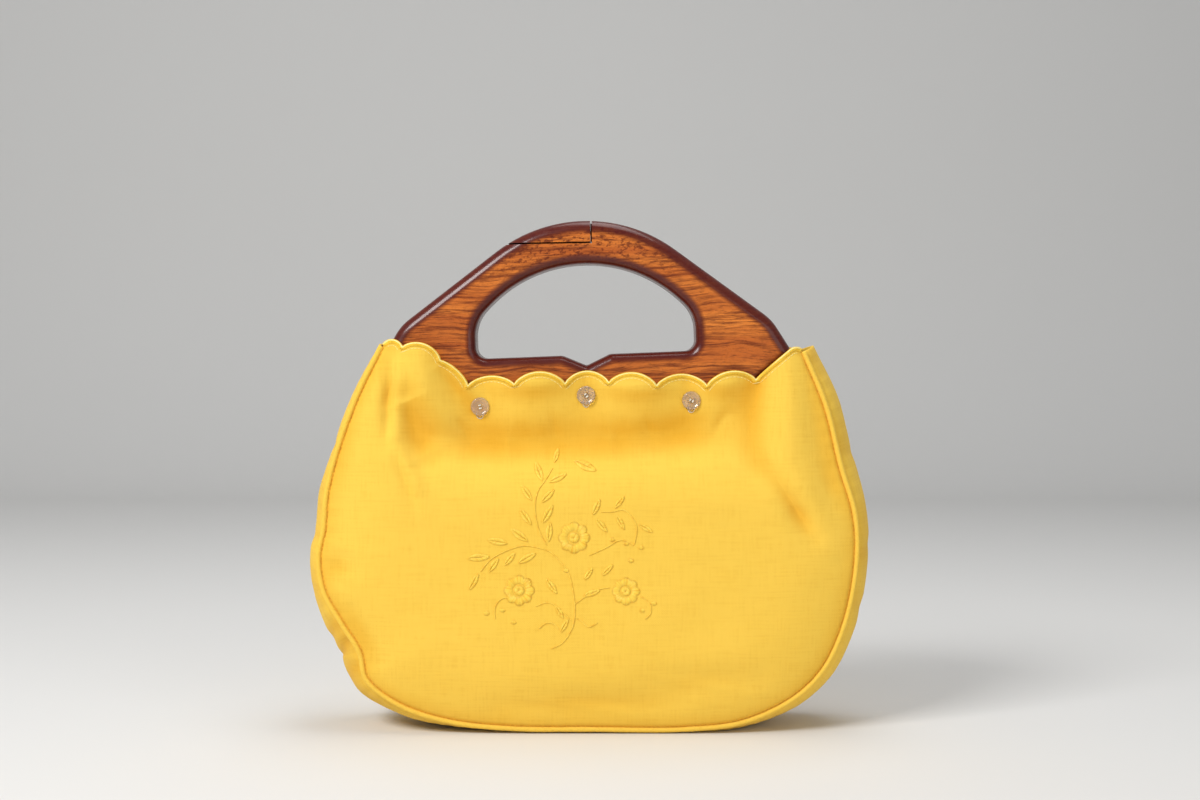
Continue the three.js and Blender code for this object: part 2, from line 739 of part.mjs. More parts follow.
function coverGroup() {
  const cover = new THREE.Group();
  cover.add(named("cover_gusset", coverGusset(), cotton));
  for (const [face, side, folds] of [
    ["front", -1, frontFolds],
    ["back", 1, backFolds],
  ]) {
    cover.add(named(`cover_${face}`, coverPanel(side, folds), cotton));
    cover.add(named(`piping_${face}`, piping(side), seamCotton));
    cover.add(named(`scallop_edging_${face}`, scallopEdging(side, folds), satin));
    for (const row of buttonRows) {
      const place = buttonPlace(row, side, folds);
      const disc = named(`button_${face}_${row.side}`, button(side), clearPlastic);
      disc.position.copy(place);
      cover.add(disc);
      const post = buttonThread(place, side);
      cover.add(named(`button_thread_${face}_${row.side}`, post, whiteThread));
    }
  }
  return cover;
}

const bag = new THREE.Group();
bag.add(handleGroup(), coverGroup());

// The origin is the middle of the bag's footprint, on the floor.
const extent = new THREE.Box3().setFromObject(bag, true);
const middle = extent.getCenter(new THREE.Vector3());
bag.position.set(-middle.x, -middle.y, -extent.min.z);

export default bag;
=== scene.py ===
"""Looks of a handbag with two flat wooden handle plates and a buttoned yellow cotton cover.

Shapes are worked out in millimetres, +X along the bag, -Y towards its front and +Z up, as in the
part's source, and become metres when a mesh is made.
"""

from __future__ import annotations

import itertools
import logging
import math
from collections.abc import Iterator
from contextlib import contextmanager
from dataclasses import dataclass, field
from enum import Enum

import bmesh
import bpy
import numpy as np
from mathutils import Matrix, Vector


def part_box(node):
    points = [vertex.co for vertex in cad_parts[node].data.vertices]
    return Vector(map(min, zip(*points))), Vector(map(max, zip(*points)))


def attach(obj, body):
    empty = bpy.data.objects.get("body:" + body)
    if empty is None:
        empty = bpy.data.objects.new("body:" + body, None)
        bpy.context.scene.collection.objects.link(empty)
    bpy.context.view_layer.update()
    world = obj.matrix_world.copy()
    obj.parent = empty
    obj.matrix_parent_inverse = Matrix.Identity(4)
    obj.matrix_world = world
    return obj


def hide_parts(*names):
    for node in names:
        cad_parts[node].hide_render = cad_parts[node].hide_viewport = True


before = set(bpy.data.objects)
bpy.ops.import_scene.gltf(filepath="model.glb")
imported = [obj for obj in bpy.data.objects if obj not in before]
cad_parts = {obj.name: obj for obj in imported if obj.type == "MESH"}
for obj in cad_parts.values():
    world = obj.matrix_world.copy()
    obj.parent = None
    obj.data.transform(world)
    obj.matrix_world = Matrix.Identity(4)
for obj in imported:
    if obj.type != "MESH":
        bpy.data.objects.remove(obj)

MM = 0.001
TURN = 2 * math.pi
BODY = "root"
Span = tuple[float, float]
Triple = tuple[float, float, float]
Colour = Triple
Array = np.ndarray
Material = bpy.types.Material
Piece = bpy.types.Object
Socket = bpy.types.NodeSocket
Looks = dict[str, Material]

log = logging.getLogger("handbag")


class Face(Enum):
    """The two big panels of the cover, with the side of the bag that each is on."""

    FRONT = -1
    BACK = 1

    @property
    def word(self) -> str:
        """The face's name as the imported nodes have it."""
        return self.name.lower()


class Grain(Enum):
    """How a cotton piece is cut: along its threads, or at 45 degrees to them."""

    STRAIGHT = 0.0
    BIAS = 45.0


@dataclass(frozen=True)
class Fold:
    """A fold or dent of a panel: a line in shares of the half width and the height, its width
    as a share of the height, and its depth as a share of the deepest fold."""

    from_out: float
    from_up: float
    to_out: float
    to_up: float
    width: float
    depth: float


# The seam from one horn tip down round the bottom to the other: share of the half width, share
# of the height, and how full the gusset is there.
SEAM_ROWS = (
    (-0.769, 0.993, 0.2),
    (-0.859, 0.866, 0.27),
    (-0.933, 0.723, 0.3),
    (-0.971, 0.616, 0.43),
    (-0.982, 0.522, 0.47),
    (-1.0, 0.455, 0.5),
    (-0.981, 0.366, 0.6),
    (-0.913, 0.281, 0.9),
    (-0.848, 0.208, 1.0),
    (-0.822, 0.138, 0.87),
    (-0.699, 0.072, 0.6),
    (-0.513, 0.03, 0.4),
    (-0.288, 0.013, 0.27),
    (0.0, 0.011, 0.27),
    (0.353, 0.011, 0.27),
    (0.564, 0.029, 0.4),
    (0.75, 0.089, 0.6),
    (0.862, 0.165, 0.67),
    (0.942, 0.286, 0.67),
    (0.985, 0.446, 0.64),
    (0.979, 0.562, 0.64),
    (0.929, 0.683, 0.67),
    (0.874, 0.839, 0.64),
    (0.79, 0.98, 0.54),
)

# The valleys between the scallops, with the height of the scallop that follows each.
SCALLOP_ROWS = (
    (-0.762, 0.996, 0.5),
    (-0.688, 0.988, 0.85),
    (-0.551, 0.955, 0.35),
    (-0.451, 0.888, 0.75),
    (-0.277, 0.893, 1.0),
    (-0.091, 0.894, 1.0),
    (0.072, 0.897, 0.95),
    (0.246, 0.889, 0.95),
    (0.435, 0.889, 0.95),
    (0.617, 0.904, 0.05),
    (0.735, 0.98, 0.2),
    (0.782, 0.983, 0.0),
)

FRONT_FOLDS = (
    Fold(-0.732, 0.971, -0.739, 0.752, 0.026, -0.32),
    Fold(-0.705, 0.94, -0.712, 0.77, 0.02, 0.32),
    Fold(-0.721, 0.752, -0.636, 0.624, 0.02, 0.3),
    Fold(-0.685, 0.85, -0.6, 0.714, 0.05, -1.15),
    Fold(-0.588, 0.75, -0.3, 0.735, 0.056, -0.7),
    Fold(-0.565, 0.94, -0.452, 0.83, 0.036, -0.42),
    Fold(-0.52, 0.955, -0.41, 0.85, 0.026, 0.4),
    Fold(-0.3, 0.735, 0.08, 0.742, 0.06, -0.78),
    Fold(0.08, 0.742, 0.46, 0.766, 0.056, -0.68),
    Fold(0.636, 0.901, 0.53, 0.84, 0.032, -0.4),
    Fold(0.6, 0.791, 0.647, 0.65, 0.05, -0.3),
    Fold(0.654, 0.688, 0.75, 0.583, 0.028, -0.34),
    Fold(0.74, 0.595, 0.82, 0.51, 0.03, -0.55),
    Fold(0.739, 0.68, 0.831, 0.56, 0.036, 0.26),
    Fold(0.82, 0.945, 0.885, 0.675, 0.034, -0.42),
    Fold(0.885, 0.675, 0.915, 0.6, 0.028, -0.3),
    Fold(-0.326, 0.074, 0.33, 0.086, 0.04, -0.3),
    Fold(0.221, 0.135, 0.604, 0.145, 0.04, -0.28),
    Fold(-0.98, 0.433, -0.891, 0.424, 0.031, -0.38),
    Fold(-0.88, 0.31, -0.795, 0.19, 0.024, -0.36),
)

BACK_FOLDS = (
    Fold(-0.7, 0.93, -0.66, 0.66, 0.045, -0.5),
    Fold(0.7, 0.93, 0.66, 0.66, 0.045, -0.5),
    Fold(-0.44, 0.793, 0.44, 0.793, 0.058, -0.62),
    Fold(-0.4, 0.09, 0.35, 0.075, 0.04, -0.4),
)

# Small creases that are only in the looks, in the same shares.
FRONT_CREASES = (
    Fold(-0.74, 0.95, -0.745, 0.75, 0.014, -0.24),
    Fold(-0.72, 0.73, -0.63, 0.58, 0.015, -0.42),
    Fold(-0.62, 0.66, -0.52, 0.57, 0.014, -0.08),
    Fold(0.66, 0.69, 0.8, 0.53, 0.011, -0.16),
    Fold(0.905, 0.585, 0.96, 0.58, 0.01, -0.14),
    Fold(0.9, 0.45, 0.965, 0.43, 0.01, -0.12),
    Fold(-0.96, 0.47, -0.87, 0.45, 0.009, -0.12),
    Fold(-0.95, 0.4, -0.86, 0.37, 0.009, -0.1),
    Fold(-0.3, 0.105, 0.2, 0.045, 0.012, 0.1),
    Fold(0.2, 0.155, 0.62, 0.105, 0.011, 0.08),
    Fold(-0.52, 0.83, -0.42, 0.72, 0.013, -0.12),
    Fold(0.52, 0.84, 0.44, 0.74, 0.013, -0.12),
    Fold(-0.15, 0.83, -0.12, 0.74, 0.014, -0.07),
    Fold(0.2, 0.82, 0.24, 0.73, 0.014, -0.07),
)

BACK_CREASES = (
    Fold(-0.6, 0.85, -0.55, 0.7, 0.014, -0.1),
    Fold(0.62, 0.82, 0.56, 0.68, 0.014, -0.1),
    Fold(-0.3, 0.11, 0.15, 0.05, 0.012, 0.08),
)


def smooth_step(low: float, high: float, value: Array) -> Array:
    """A soft ramp from 0 at low to 1 at high."""
    share = np.clip((value - low) / (high - low), 0.0, 1.0)
    return share * share * (3.0 - 2.0 * share)


def soft_positive(value: Array, rounding: float) -> Array:
    """The value where it is above 0 and nearly 0 below, with a round bend between."""
    return (value + np.sqrt(value * value + rounding**2)) / 2


def between(grid: Array, i: Array, j: Array, s: Array, t: Array) -> Array:
    """Values of a grid that wraps round, at rows i + s and columns j + t."""
    rows, columns = grid.shape
    low, high = (
        grid[i % rows, (j + b) % columns] * (1 - s) + grid[(i + 1) % rows, (j + b) % columns] * s
        for b in (0, 1)
    )
    return low * (1 - t) + high * t


def soft_noise(x: Array, y: Array, cell: float, seed: int) -> Array:
    """Smooth noise from -1 to 1 at each point: cell is the size of its lumps, seed says which."""
    size = 128
    lattice = np.random.default_rng(seed).uniform(-1.0, 1.0, (size, size))
    u, v = np.asarray(x) / cell, np.asarray(y) / cell
    i, j = np.floor(u).astype(int), np.floor(v).astype(int)
    return between(lattice, i, j, smooth_step(0.0, 1.0, u - i), smooth_step(0.0, 1.0, v - j))


def round_angles(count: int) -> Array:
    """Angles spread evenly over a whole turn."""
    return np.linspace(0.0, TURN, count, endpoint=False)


def spokes(angles: Array) -> Array:
    """One unit (across, up) row for each angle."""
    return np.column_stack([np.cos(angles), np.sin(angles)])


class Spline:
    """A centripetal Catmull-Rom curve in the plane of the panels, read by its length."""

    def __init__(self, knots: Array, per_span: int = 40) -> None:
        """Samples the curve.

        Args:
            knots: the points that it runs through, one (x, z) row each.
            per_span: samples between two of them.
        """
        knots = np.asarray(knots, float)
        first, last = 2 * knots[0] - knots[1], 2 * knots[-1] - knots[-2]
        ext = np.vstack([first, knots, last])
        points, places = [], []
        share = np.linspace(0.0, 1.0, per_span, endpoint=False)[:, None]
        for index in range(len(knots) - 1):
            p = ext[index : index + 4]
            gap = np.maximum(np.sqrt(np.linalg.norm(np.diff(p, axis=0), axis=1)), 1e-4)
            out = gap[1] * (
                (p[1] - p[0]) / gap[0] - (p[2] - p[0]) / (gap[0] + gap[1]) + (p[2] - p[1]) / gap[1]
            )
            into = gap[1] * (
                (p[2] - p[1]) / gap[1] - (p[3] - p[1]) / (gap[1] + gap[2]) + (p[3] - p[2]) / gap[2]
            )
            square, cube = share**2, share**3
            points.append(
                p[1]
                + out * share
                + (3 * (p[2] - p[1]) - 2 * out - into) * square
                + (2 * (p[1] - p[2]) + out + into) * cube
            )
            places.append(index + share[:, 0])
        self.points = np.vstack([*points, knots[-1:]])
        self.places = np.concatenate([*places, [len(knots) - 1.0]])
        steps = np.linalg.norm(np.diff(self.points, axis=0), axis=1)
        self.lengths = np.concatenate([[0.0], np.cumsum(steps)])

    @property
    def length(self) -> float:
        """Length of the whole curve."""
        return float(self.lengths[-1])

    def at(self, lengths: Array) -> Array:
        """Points at these lengths from the start, one row each."""
        return np.column_stack(
            [np.interp(lengths, self.lengths, self.points[:, axis]) for axis in (0, 1)]
        )

    def place(self, lengths: Array) -> Array:
        """Which knot each length falls on, with its part of the way to the next."""
        return np.interp(lengths, self.lengths, self.places)

    def along(self, lengths: Array, probe: float = 0.4) -> Array:
        """The direction of the curve at these lengths, one unit row each."""
        lengths = np.asarray(lengths)
        ahead = self.at(np.minimum(lengths + probe, self.length))
        way = ahead - self.at(np.maximum(lengths - probe, 0.0))
        return way / np.linalg.norm(way, axis=1, keepdims=True)


def link(name: str, data: bpy.types.ID) -> Piece:
    """Puts a mesh, light or camera into the scene as an object."""
    made = bpy.data.objects.new(name, data)
    bpy.context.scene.collection.objects.link(made)
    return made


def mesh_piece(name: str, points: Array, faces: list | Array, uv: Array | None = None) -> Piece:
    """Makes a smooth object of points in millimetres.

    Args:
        name: the piece's name.
        points: one row each.
        faces: point numbers of each face.
        uv: a (u, v) row for each point, in millimetres along the cloth.

    Returns:
        The object, at the origin.
    """
    mesh = bpy.data.meshes.new(name)
    mesh.from_pydata((np.asarray(points) * MM).tolist(), [], [list(map(int, f)) for f in faces])
    if uv is not None:
        layer = mesh.uv_layers.new(name="cloth")
        corners = np.empty(len(mesh.loops), np.int32)
        mesh.loops.foreach_get("vertex_index", corners)
        layer.data.foreach_set("uv", (np.asarray(uv)[corners] * MM).astype(np.float32).ravel())
    mesh.update()
    mesh.shade_smooth()
    return link(name, mesh)


@contextmanager
def edited(mesh: bpy.types.Mesh) -> Iterator[bmesh.types.BMesh]:
    """A mesh's editable form, which is written back at the end."""
    work = bmesh.new()
    work.from_mesh(mesh)
    yield work
    work.to_mesh(mesh)
    work.free()


def close_up(piece: Piece, doubled: float = 1e-6, thin: float = 1e-7) -> None:
    """Merges a closed piece's doubled points, clears thin faces and turns the others outwards.

    Args:
        piece: the object.
        doubled: how near doubled points are, in the mesh's unit.
        thin: how short an edge of a thin face is.
    """
    with edited(piece.data) as work:
        bmesh.ops.remove_doubles(work, verts=work.verts, dist=doubled)
        bmesh.ops.dissolve_degenerate(work, edges=work.edges, dist=thin)
        if work.calc_volume(signed=True) < 0:
            bmesh.ops.reverse_faces(work, faces=work.faces)
    piece.data.update()


def store(piece: Piece, name: str, values: Array) -> None:
    """Stores a number, or a vector, on each point of a piece."""
    vector = np.asarray(values).ndim == 2
    kind, slot = ("FLOAT_VECTOR", "vector") if vector else ("FLOAT", "value")
    attribute = piece.data.attributes.new(name=name, type=kind, domain="POINT")
    attribute.data.foreach_set(slot, np.asarray(values, np.float32).ravel())


def take_mesh(piece: Piece) -> None:
    """Turns a piece's modifiers into its plain mesh."""
    graph = bpy.context.evaluated_depsgraph_get()
    mesh = bpy.data.meshes.new_from_object(
        piece.evaluated_get(graph), preserve_all_data_layers=True, depsgraph=graph
    )
    piece.modifiers.clear()
    piece.data = mesh


def combine(piece: Piece, other: Piece, operation: str) -> None:
    """Cuts a piece with another, or joins them, and removes the other."""
    tool = piece.modifiers.new(operation.lower(), "BOOLEAN")
    tool.operation = operation
    tool.solver = "EXACT"
    tool.object = other
    take_mesh(piece)
    bpy.data.objects.remove(other)


def dress(piece: Piece, material: Material, node: str = "") -> Piece:
    """Gives a piece its finish, slot and body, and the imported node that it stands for, if any."""
    piece.data.materials.clear()
    piece.data.materials.append(material)
    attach(piece, BODY)
    if node:
        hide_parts(node)
    log.info("%s: %d faces", piece.name, len(piece.data.polygons))
    return piece


def quads(*corners: Array) -> Array:
    """One row of four point numbers for each place in four arrays of them."""
    return np.stack([corner.ravel() for corner in corners], axis=1)


def wall_faces(columns: int, rows: int) -> Array:
    """Quads of a closed wall between two grids, the second's points after the first's."""
    outer = np.arange(columns * rows).reshape(columns, rows)
    inner = outer + columns * rows

    def skin(grid: Array) -> Array:
        return quads(grid[:-1, :-1], grid[1:, :-1], grid[1:, 1:], grid[:-1, 1:])

    def strip(a: Array, b: Array) -> Array:
        return quads(a[:-1], b[:-1], b[1:], a[1:])

    low, high = strip(outer[:, 0], inner[:, 0]), strip(inner[:, -1], outer[:, -1])
    first, last = strip(inner[0], outer[0]), strip(outer[-1], inner[-1])
    return np.vstack([skin(outer), skin(inner)[:, ::-1], low, high, first, last])


def tube_faces(rows: int, sides: int) -> list[list[int]]:
    """Faces of a tube of rings, whose two last points are the middles of its start and end."""
    grid = np.arange(rows * sides).reshape(rows, sides)
    wrap = np.roll(grid, -1, axis=1)
    faces = quads(grid[:-1], wrap[:-1], wrap[1:], grid[1:]).tolist()
    faces += [[grid.size, int(b), int(a)] for a, b in zip(grid[0], wrap[0], strict=True)]
    faces += [[grid.size + 1, int(a), int(b)] for a, b in zip(grid[-1], wrap[-1], strict=True)]
    return faces


@dataclass
class NodeGraph:
    """Adds and links the nodes of one tree in few words."""

    tree: bpy.types.NodeTree

    def connect(self, socket: Socket, value: object) -> None:
        """Links a socket to another one, or gives it a value."""
        if isinstance(value, Socket):
            self.tree.links.new(value, socket)
        else:
            socket.default_value = value

    def add(self, kind: str, settings: dict | None = None, **inputs: object) -> bpy.types.Node:
        """Adds a node.

        Args:
            kind: the node's type.
            settings: its properties.
            **inputs: values or sockets for its inputs, _ standing for a space, or in0 for the
                first input.

        Returns:
            The node.
        """
        node = self.tree.nodes.new(kind)
        for key, value in (settings or {}).items():
            setattr(node, key, value)
        for key, value in inputs.items():
            plain = key[2:].isdigit() and key.startswith("in")
            self.connect(node.inputs[int(key[2:]) if plain else key.replace("_", " ")], value)
        return node

    def take(self, kind: str, settings: dict | None = None, **inputs: object) -> Socket:
        """Adds a node and gives its first output."""
        return self.add(kind, settings, **inputs).outputs[0]

    def place(self) -> Socket:
        """Object coordinates."""
        return self.add("ShaderNodeTexCoord").outputs["Object"]

    def attribute(self, name: str) -> Socket:
        """A number that is stored on the piece's points."""
        return self.add("ShaderNodeAttribute", {"attribute_name": name}).outputs["Fac"]

    def maths(self, operation: str, *values: object) -> Socket:
        """A Math node's result."""
        inputs = {f"in{place}": value for place, value in enumerate(values)}
        return self.take("ShaderNodeMath", {"operation": operation}, **inputs)

    def vectors(self, operation: str, first: object, second: object) -> Socket:
        """A Vector Math node's result."""
        return self.take("ShaderNodeVectorMath", {"operation": operation}, in0=first, in1=second)

    def noise(self, vector: Socket, scale: float, detail: float = 2.0, rough: float = 0.5) -> Socket:
        """A noise texture's value."""
        inputs = {"Vector": vector, "Scale": scale, "Detail": detail, "Roughness": rough}
        return self.take("ShaderNodeTexNoise", **inputs)

    def stretched(
        self,
        vector: Socket,
        scale: Triple = (1.0, 1.0, 1.0),
        turn: Triple = (0.0, 0.0, 0.0),
        shift: Triple = (0.0, 0.0, 0.0),
    ) -> Socket:
        """Coordinates that a Mapping node scales, turns by degrees and shifts."""
        angles = tuple(math.radians(angle) for angle in turn)
        inputs = {"Vector": vector, "Scale": scale, "Rotation": angles, "Location": shift}
        return self.take("ShaderNodeMapping", **inputs)

    def streaks(
        self,
        vector: Socket,
        scale: Triple,
        detail: float,
        rough: float = 0.5,
        turn: Triple = (0.0, 0.0, 0.0),
    ) -> Socket:
        """Noise with its own scale along each axis."""
        return self.noise(self.stretched(vector, scale, turn), 1.0, detail, rough)

    def ramp(
        self, value: object, low: float, high: float, start: float = 0.0, end: float = 1.0
    ) -> Socket:
        """The value spread from start at low to end at high, and clamped."""
        inputs = {"Value": value, "From_Min": low, "From_Max": high, "To_Min": start, "To_Max": end}
        return self.take("ShaderNodeMapRange", **inputs)

    def blend(self, share: object, low: object, high: object) -> Socket:
        """Two colours mixed."""
        node = self.add("ShaderNodeMix", {"data_type": "RGBA"}, in0=share)
        for socket, value in ((node.inputs[6], low), (node.inputs[7], high)):
            self.connect(socket, (*value, 1.0) if isinstance(value, tuple) else value)
        return node.outputs[2]

    def tint(self, tone: object, colour: object, mask: object, most: float) -> Socket:
        """A tone with a colour laid over it where the mask is 1, by a share of most."""
        return self.blend(self.maths("MULTIPLY", mask, most), tone, colour)

    def bump(self, height: object, strength: float, distance: float, under: object = None) -> Socket:
        """A Bump node's normal, on top of another one's where there is one."""
        inputs = {"Height": height, "Strength": strength, "Distance": distance}
        if under is not None:
            inputs["Normal"] = under
        return self.take("ShaderNodeBump", **inputs)


@dataclass(frozen=True)
class Finish:
    """A material made of nodes. Each kind says what its shader is given."""

    name: str

    def surface(self, graph: NodeGraph) -> dict[str, object]:
        """The shader's inputs, _ standing for a space."""
        raise NotImplementedError

    def build(self) -> Material:
        """Makes the material."""
        material = bpy.data.materials.new(self.name)
        material.use_nodes = True
        material.node_tree.nodes.clear()
        graph = NodeGraph(material.node_tree)
        shader = graph.take("ShaderNodeBsdfPrincipled", **self.surface(graph))
        graph.add("ShaderNodeOutputMaterial", Surface=shader)
        return material


@dataclass(frozen=True)
class CottonFinish(Finish):
    """Plain woven golden cotton, with painted shade: a deeper, more orange colour where it lies hollow
    or faces down.
    """

    grain: Grain = Grain.STRAIGHT
    bright: Colour = (0.93, 0.6, 0.08)
    # deep: the colour of the painted shade in the hollows and on the faces turned down.
    deep: Colour = (0.76, 0.34, 0.006)
    thread: float = 0.52
    roughness: float = 0.86

    def surface(self, graph: NodeGraph) -> dict[str, object]:
        """The weave on the piece's own map of its cloth, with slubs, paler patches and painted shade
        in the hollows.
        """
        cloth = graph.take("ShaderNodeUVMap", {"uv_map": "cloth"})
        cloth = graph.stretched(cloth, turn=(0.0, 0.0, self.grain.value))
        weft = graph.streaks(cloth, (45.0, 900.0, 1.0), 3.0, 0.6)
        warp = graph.streaks(cloth, (900.0, 60.0, 1.0), 3.0, 0.6)
        slub = graph.maths("ADD", weft, warp)
        split = graph.add("ShaderNodeSeparateXYZ", Vector=cloth).outputs
        pitch = math.pi / (self.thread * MM)
        waves = [graph.maths("SINE", graph.maths("MULTIPLY", split[axis], pitch)) for axis in (0, 1)]
        weave = graph.maths("MULTIPLY", *waves)
        patch = graph.ramp(graph.noise(cloth, 14.0, 4.0, 0.55), 0.45, 0.75)
        faded = tuple(min(1.0, part * 1.06 + 0.012) for part in self.bright)
        dark = tuple(part * 0.86 for part in self.deep)
        # Painted shade: the deep colour laid over the hollows and the faces turned down.
        tone = graph.tint(self.bright, self.deep, graph.attribute("hollow"), 0.7)
        tone = graph.tint(tone, faded, patch, 0.35)
        tone = graph.tint(tone, dark, graph.ramp(slub, 1.02, 0.7), 0.22)
        tone = graph.tint(tone, dark, graph.ramp(weave, 0.3, -0.8), 0.1)
        return {
            "Base_Color": tone,
            "Roughness": self.roughness,
            "Sheen_Weight": 0.06,
            "Sheen_Roughness": 0.45,
            "Specular_IOR_Level": 0.15,
            "Normal": graph.bump(weave, 0.35, 0.00012, graph.bump(slub, 0.35, 0.00025)),
        }


@dataclass(frozen=True)
class ThreadFinish(Finish):
    """Spun thread: satin embroidery thread or plain sewing thread."""

    colour: Colour
    dark: Colour
    roughness: float
    gloss: float

    def surface(self, graph: NodeGraph) -> dict[str, object]:
        """Fine fibres, in the tone of each stitch."""
        fibre = graph.noise(graph.place(), 5200.0)
        tone = graph.tint(self.colour, self.dark, graph.attribute("tone"), 0.8)
        return {
            "Base_Color": graph.tint(tone, self.dark, graph.ramp(fibre, 0.35, 0.7), 0.2),
            "Roughness": self.roughness,
            "Sheen_Weight": 0.15,
            "Specular_IOR_Level": self.gloss,
            "Normal": graph.bump(fibre, 0.3, 0.0001),
        }


@dataclass(frozen=True)
class WoodFinish(Finish):
    """Lacquered red-brown mahogany with its grain along the plates."""

    shift: Triple = (0.0, 0.0, 0.0)
    light: Colour = (0.74, 0.22, 0.034)
    middle: Colour = (0.49, 0.112, 0.018)
    dark: Colour = (0.11, 0.014, 0.004)
    # rim: the colour of the painted shade on the rounded edges.
    rim: Colour = (0.075, 0.004, 0.003)
    flamed: Span = (0.258, 0.276)

    def surface(self, graph: NodeGraph) -> dict[str, object]:
        """Bands, fibres, pores and a flamed crown, with painted shade darkening the rounded edges."""
        place = graph.stretched(graph.place(), turn=(0.0, 2.0, 0.0), shift=self.shift)
        warp = graph.add("ShaderNodeTexNoise", Vector=place, Scale=13.0, Detail=3.0).outputs[1]
        sway = graph.vectors("SUBTRACT", warp, (0.5, 0.5, 0.5))
        board = graph.vectors("ADD", place, graph.vectors("MULTIPLY", sway, (0.006, 0.006, 0.014)))
        fibre = graph.streaks(board, (42.0, 300.0, 760.0), 4.0, 0.66)
        band = graph.streaks(board, (7.0, 60.0, 110.0), 3.0, 0.55)
        pore = graph.ramp(graph.streaks(board, (170.0, 1500.0, 2300.0), 2.0, 0.6), 0.6, 0.72)
        figure = graph.streaks(board, (260.0, 200.0, 420.0), 3.0, 0.7, (0.0, 35.0, 0.0))
        level = graph.add("ShaderNodeSeparateXYZ", Vector=place).outputs[2]
        crown = graph.maths("ADD", graph.ramp(level, *self.flamed), 0.18)
        flame = graph.maths("MULTIPLY", graph.ramp(figure, 0.5, 0.62), crown)
        tone = graph.blend(graph.ramp(band, 0.3, 0.7), self.middle, self.light)
        tone = graph.tint(tone, self.dark, graph.ramp(fibre, 0.45, 0.62), 0.78)
        tone = graph.tint(tone, self.dark, flame, 0.7)
        tone = graph.tint(tone, tuple(part * 0.5 for part in self.dark), pore, 0.75)
        # Painted shade: the rounded edges of the plates and the grip hole turn to the dark rim colour.
        tone = graph.tint(tone, self.rim, graph.attribute("edge_tone"), 0.94)
        swell = graph.bump(graph.noise(place, 55.0), 0.12, 0.0008)
        return {
            "Base_Color": tone,
            "Roughness": graph.ramp(graph.noise(place, 90.0, 3.0), 0.3, 0.7, 0.24, 0.36),
            "Specular_IOR_Level": 0.22,
            "Coat_Weight": 0.32,
            "Coat_Roughness": 0.13,
            "Normal": graph.bump(pore, 0.25, -0.0001, swell),
        }


@dataclass(frozen=True)
class PlasticFinish(Finish):
    """Clear greyish shirt-button plastic."""

    clear: Colour = (0.97, 0.91, 0.8)
    cloudy: Colour = (0.86, 0.76, 0.66)

    def surface(self, graph: NodeGraph) -> dict[str, object]:
        """A faint pearly swirl under a clear coat."""
        swirl = graph.streaks(graph.place(), (260.0, 200.0, 420.0), 3.0, turn=(0.0, 30.0, 0.0))
        return {
            "Base_Color": graph.blend(graph.ramp(swirl, 0.35, 0.65), self.clear, self.cloudy),
            "Roughness": 0.14,
            "Transmission_Weight": 0.82,
            "IOR": 1.49,
            "Coat_Weight": 0.3,
            "Normal": graph.bump(swirl, 0.05, 0.0004),
        }


@dataclass(frozen=True)
class SteelFinish(Finish):
    """Plain steel."""

    def surface(self, graph: NodeGraph) -> dict[str, object]:
        """Fine scratches round the pin."""
        scratch = graph.streaks(graph.place(), (60.0, 3000.0, 3000.0), 3.0)
        return {
            "Base_Color": graph.blend(scratch, (0.5, 0.5, 0.49), (0.66, 0.66, 0.65)),
            "Metallic": 1.0,
            "Roughness": graph.ramp(scratch, -0.4, 2.2),
            "Normal": graph.bump(scratch, 0.2, 0.0001),
        }


@dataclass(frozen=True)
class StageFinish(Finish):
    """The plain pale floor and wall around the bag."""

    colour: Colour

    def surface(self, graph: NodeGraph) -> dict[str, object]:
        """A colour that is hardly uneven."""
        darker = tuple(part * 0.985 for part in self.colour)
        tone = graph.blend(graph.noise(graph.place(), 3.0), self.colour, darker)
        return {"Base_Color": tone, "Roughness": 0.9, "Specular_IOR_Level": 0.2}


FINISHES = (
    CottonFinish("yellow_cotton"),
    CottonFinish("bias_cotton", Grain.BIAS),
    ThreadFinish("satin_stitch", (0.98, 0.7, 0.08), (0.84, 0.43, 0.006), 0.4, 0.5),
    ThreadFinish("edge_satin", (0.97, 0.64, 0.04), (0.9, 0.52, 0.014), 0.38, 0.5),
    ThreadFinish("purl_thread", (1.0, 0.9, 0.38), (0.98, 0.8, 0.22), 0.34, 0.6),
    ThreadFinish("yellow_sewing_thread", (0.8, 0.4, 0.02), (0.6, 0.25, 0.01), 0.6, 0.3),
    ThreadFinish("cream_thread", (0.9, 0.84, 0.7), (0.66, 0.56, 0.4), 0.6, 0.3),
    WoodFinish("mahogany_front"),
    WoodFinish("mahogany_back", (0.31, 0.07, 0.0)),
    PlasticFinish("button_plastic"),
    SteelFinish("plain_steel"),
)


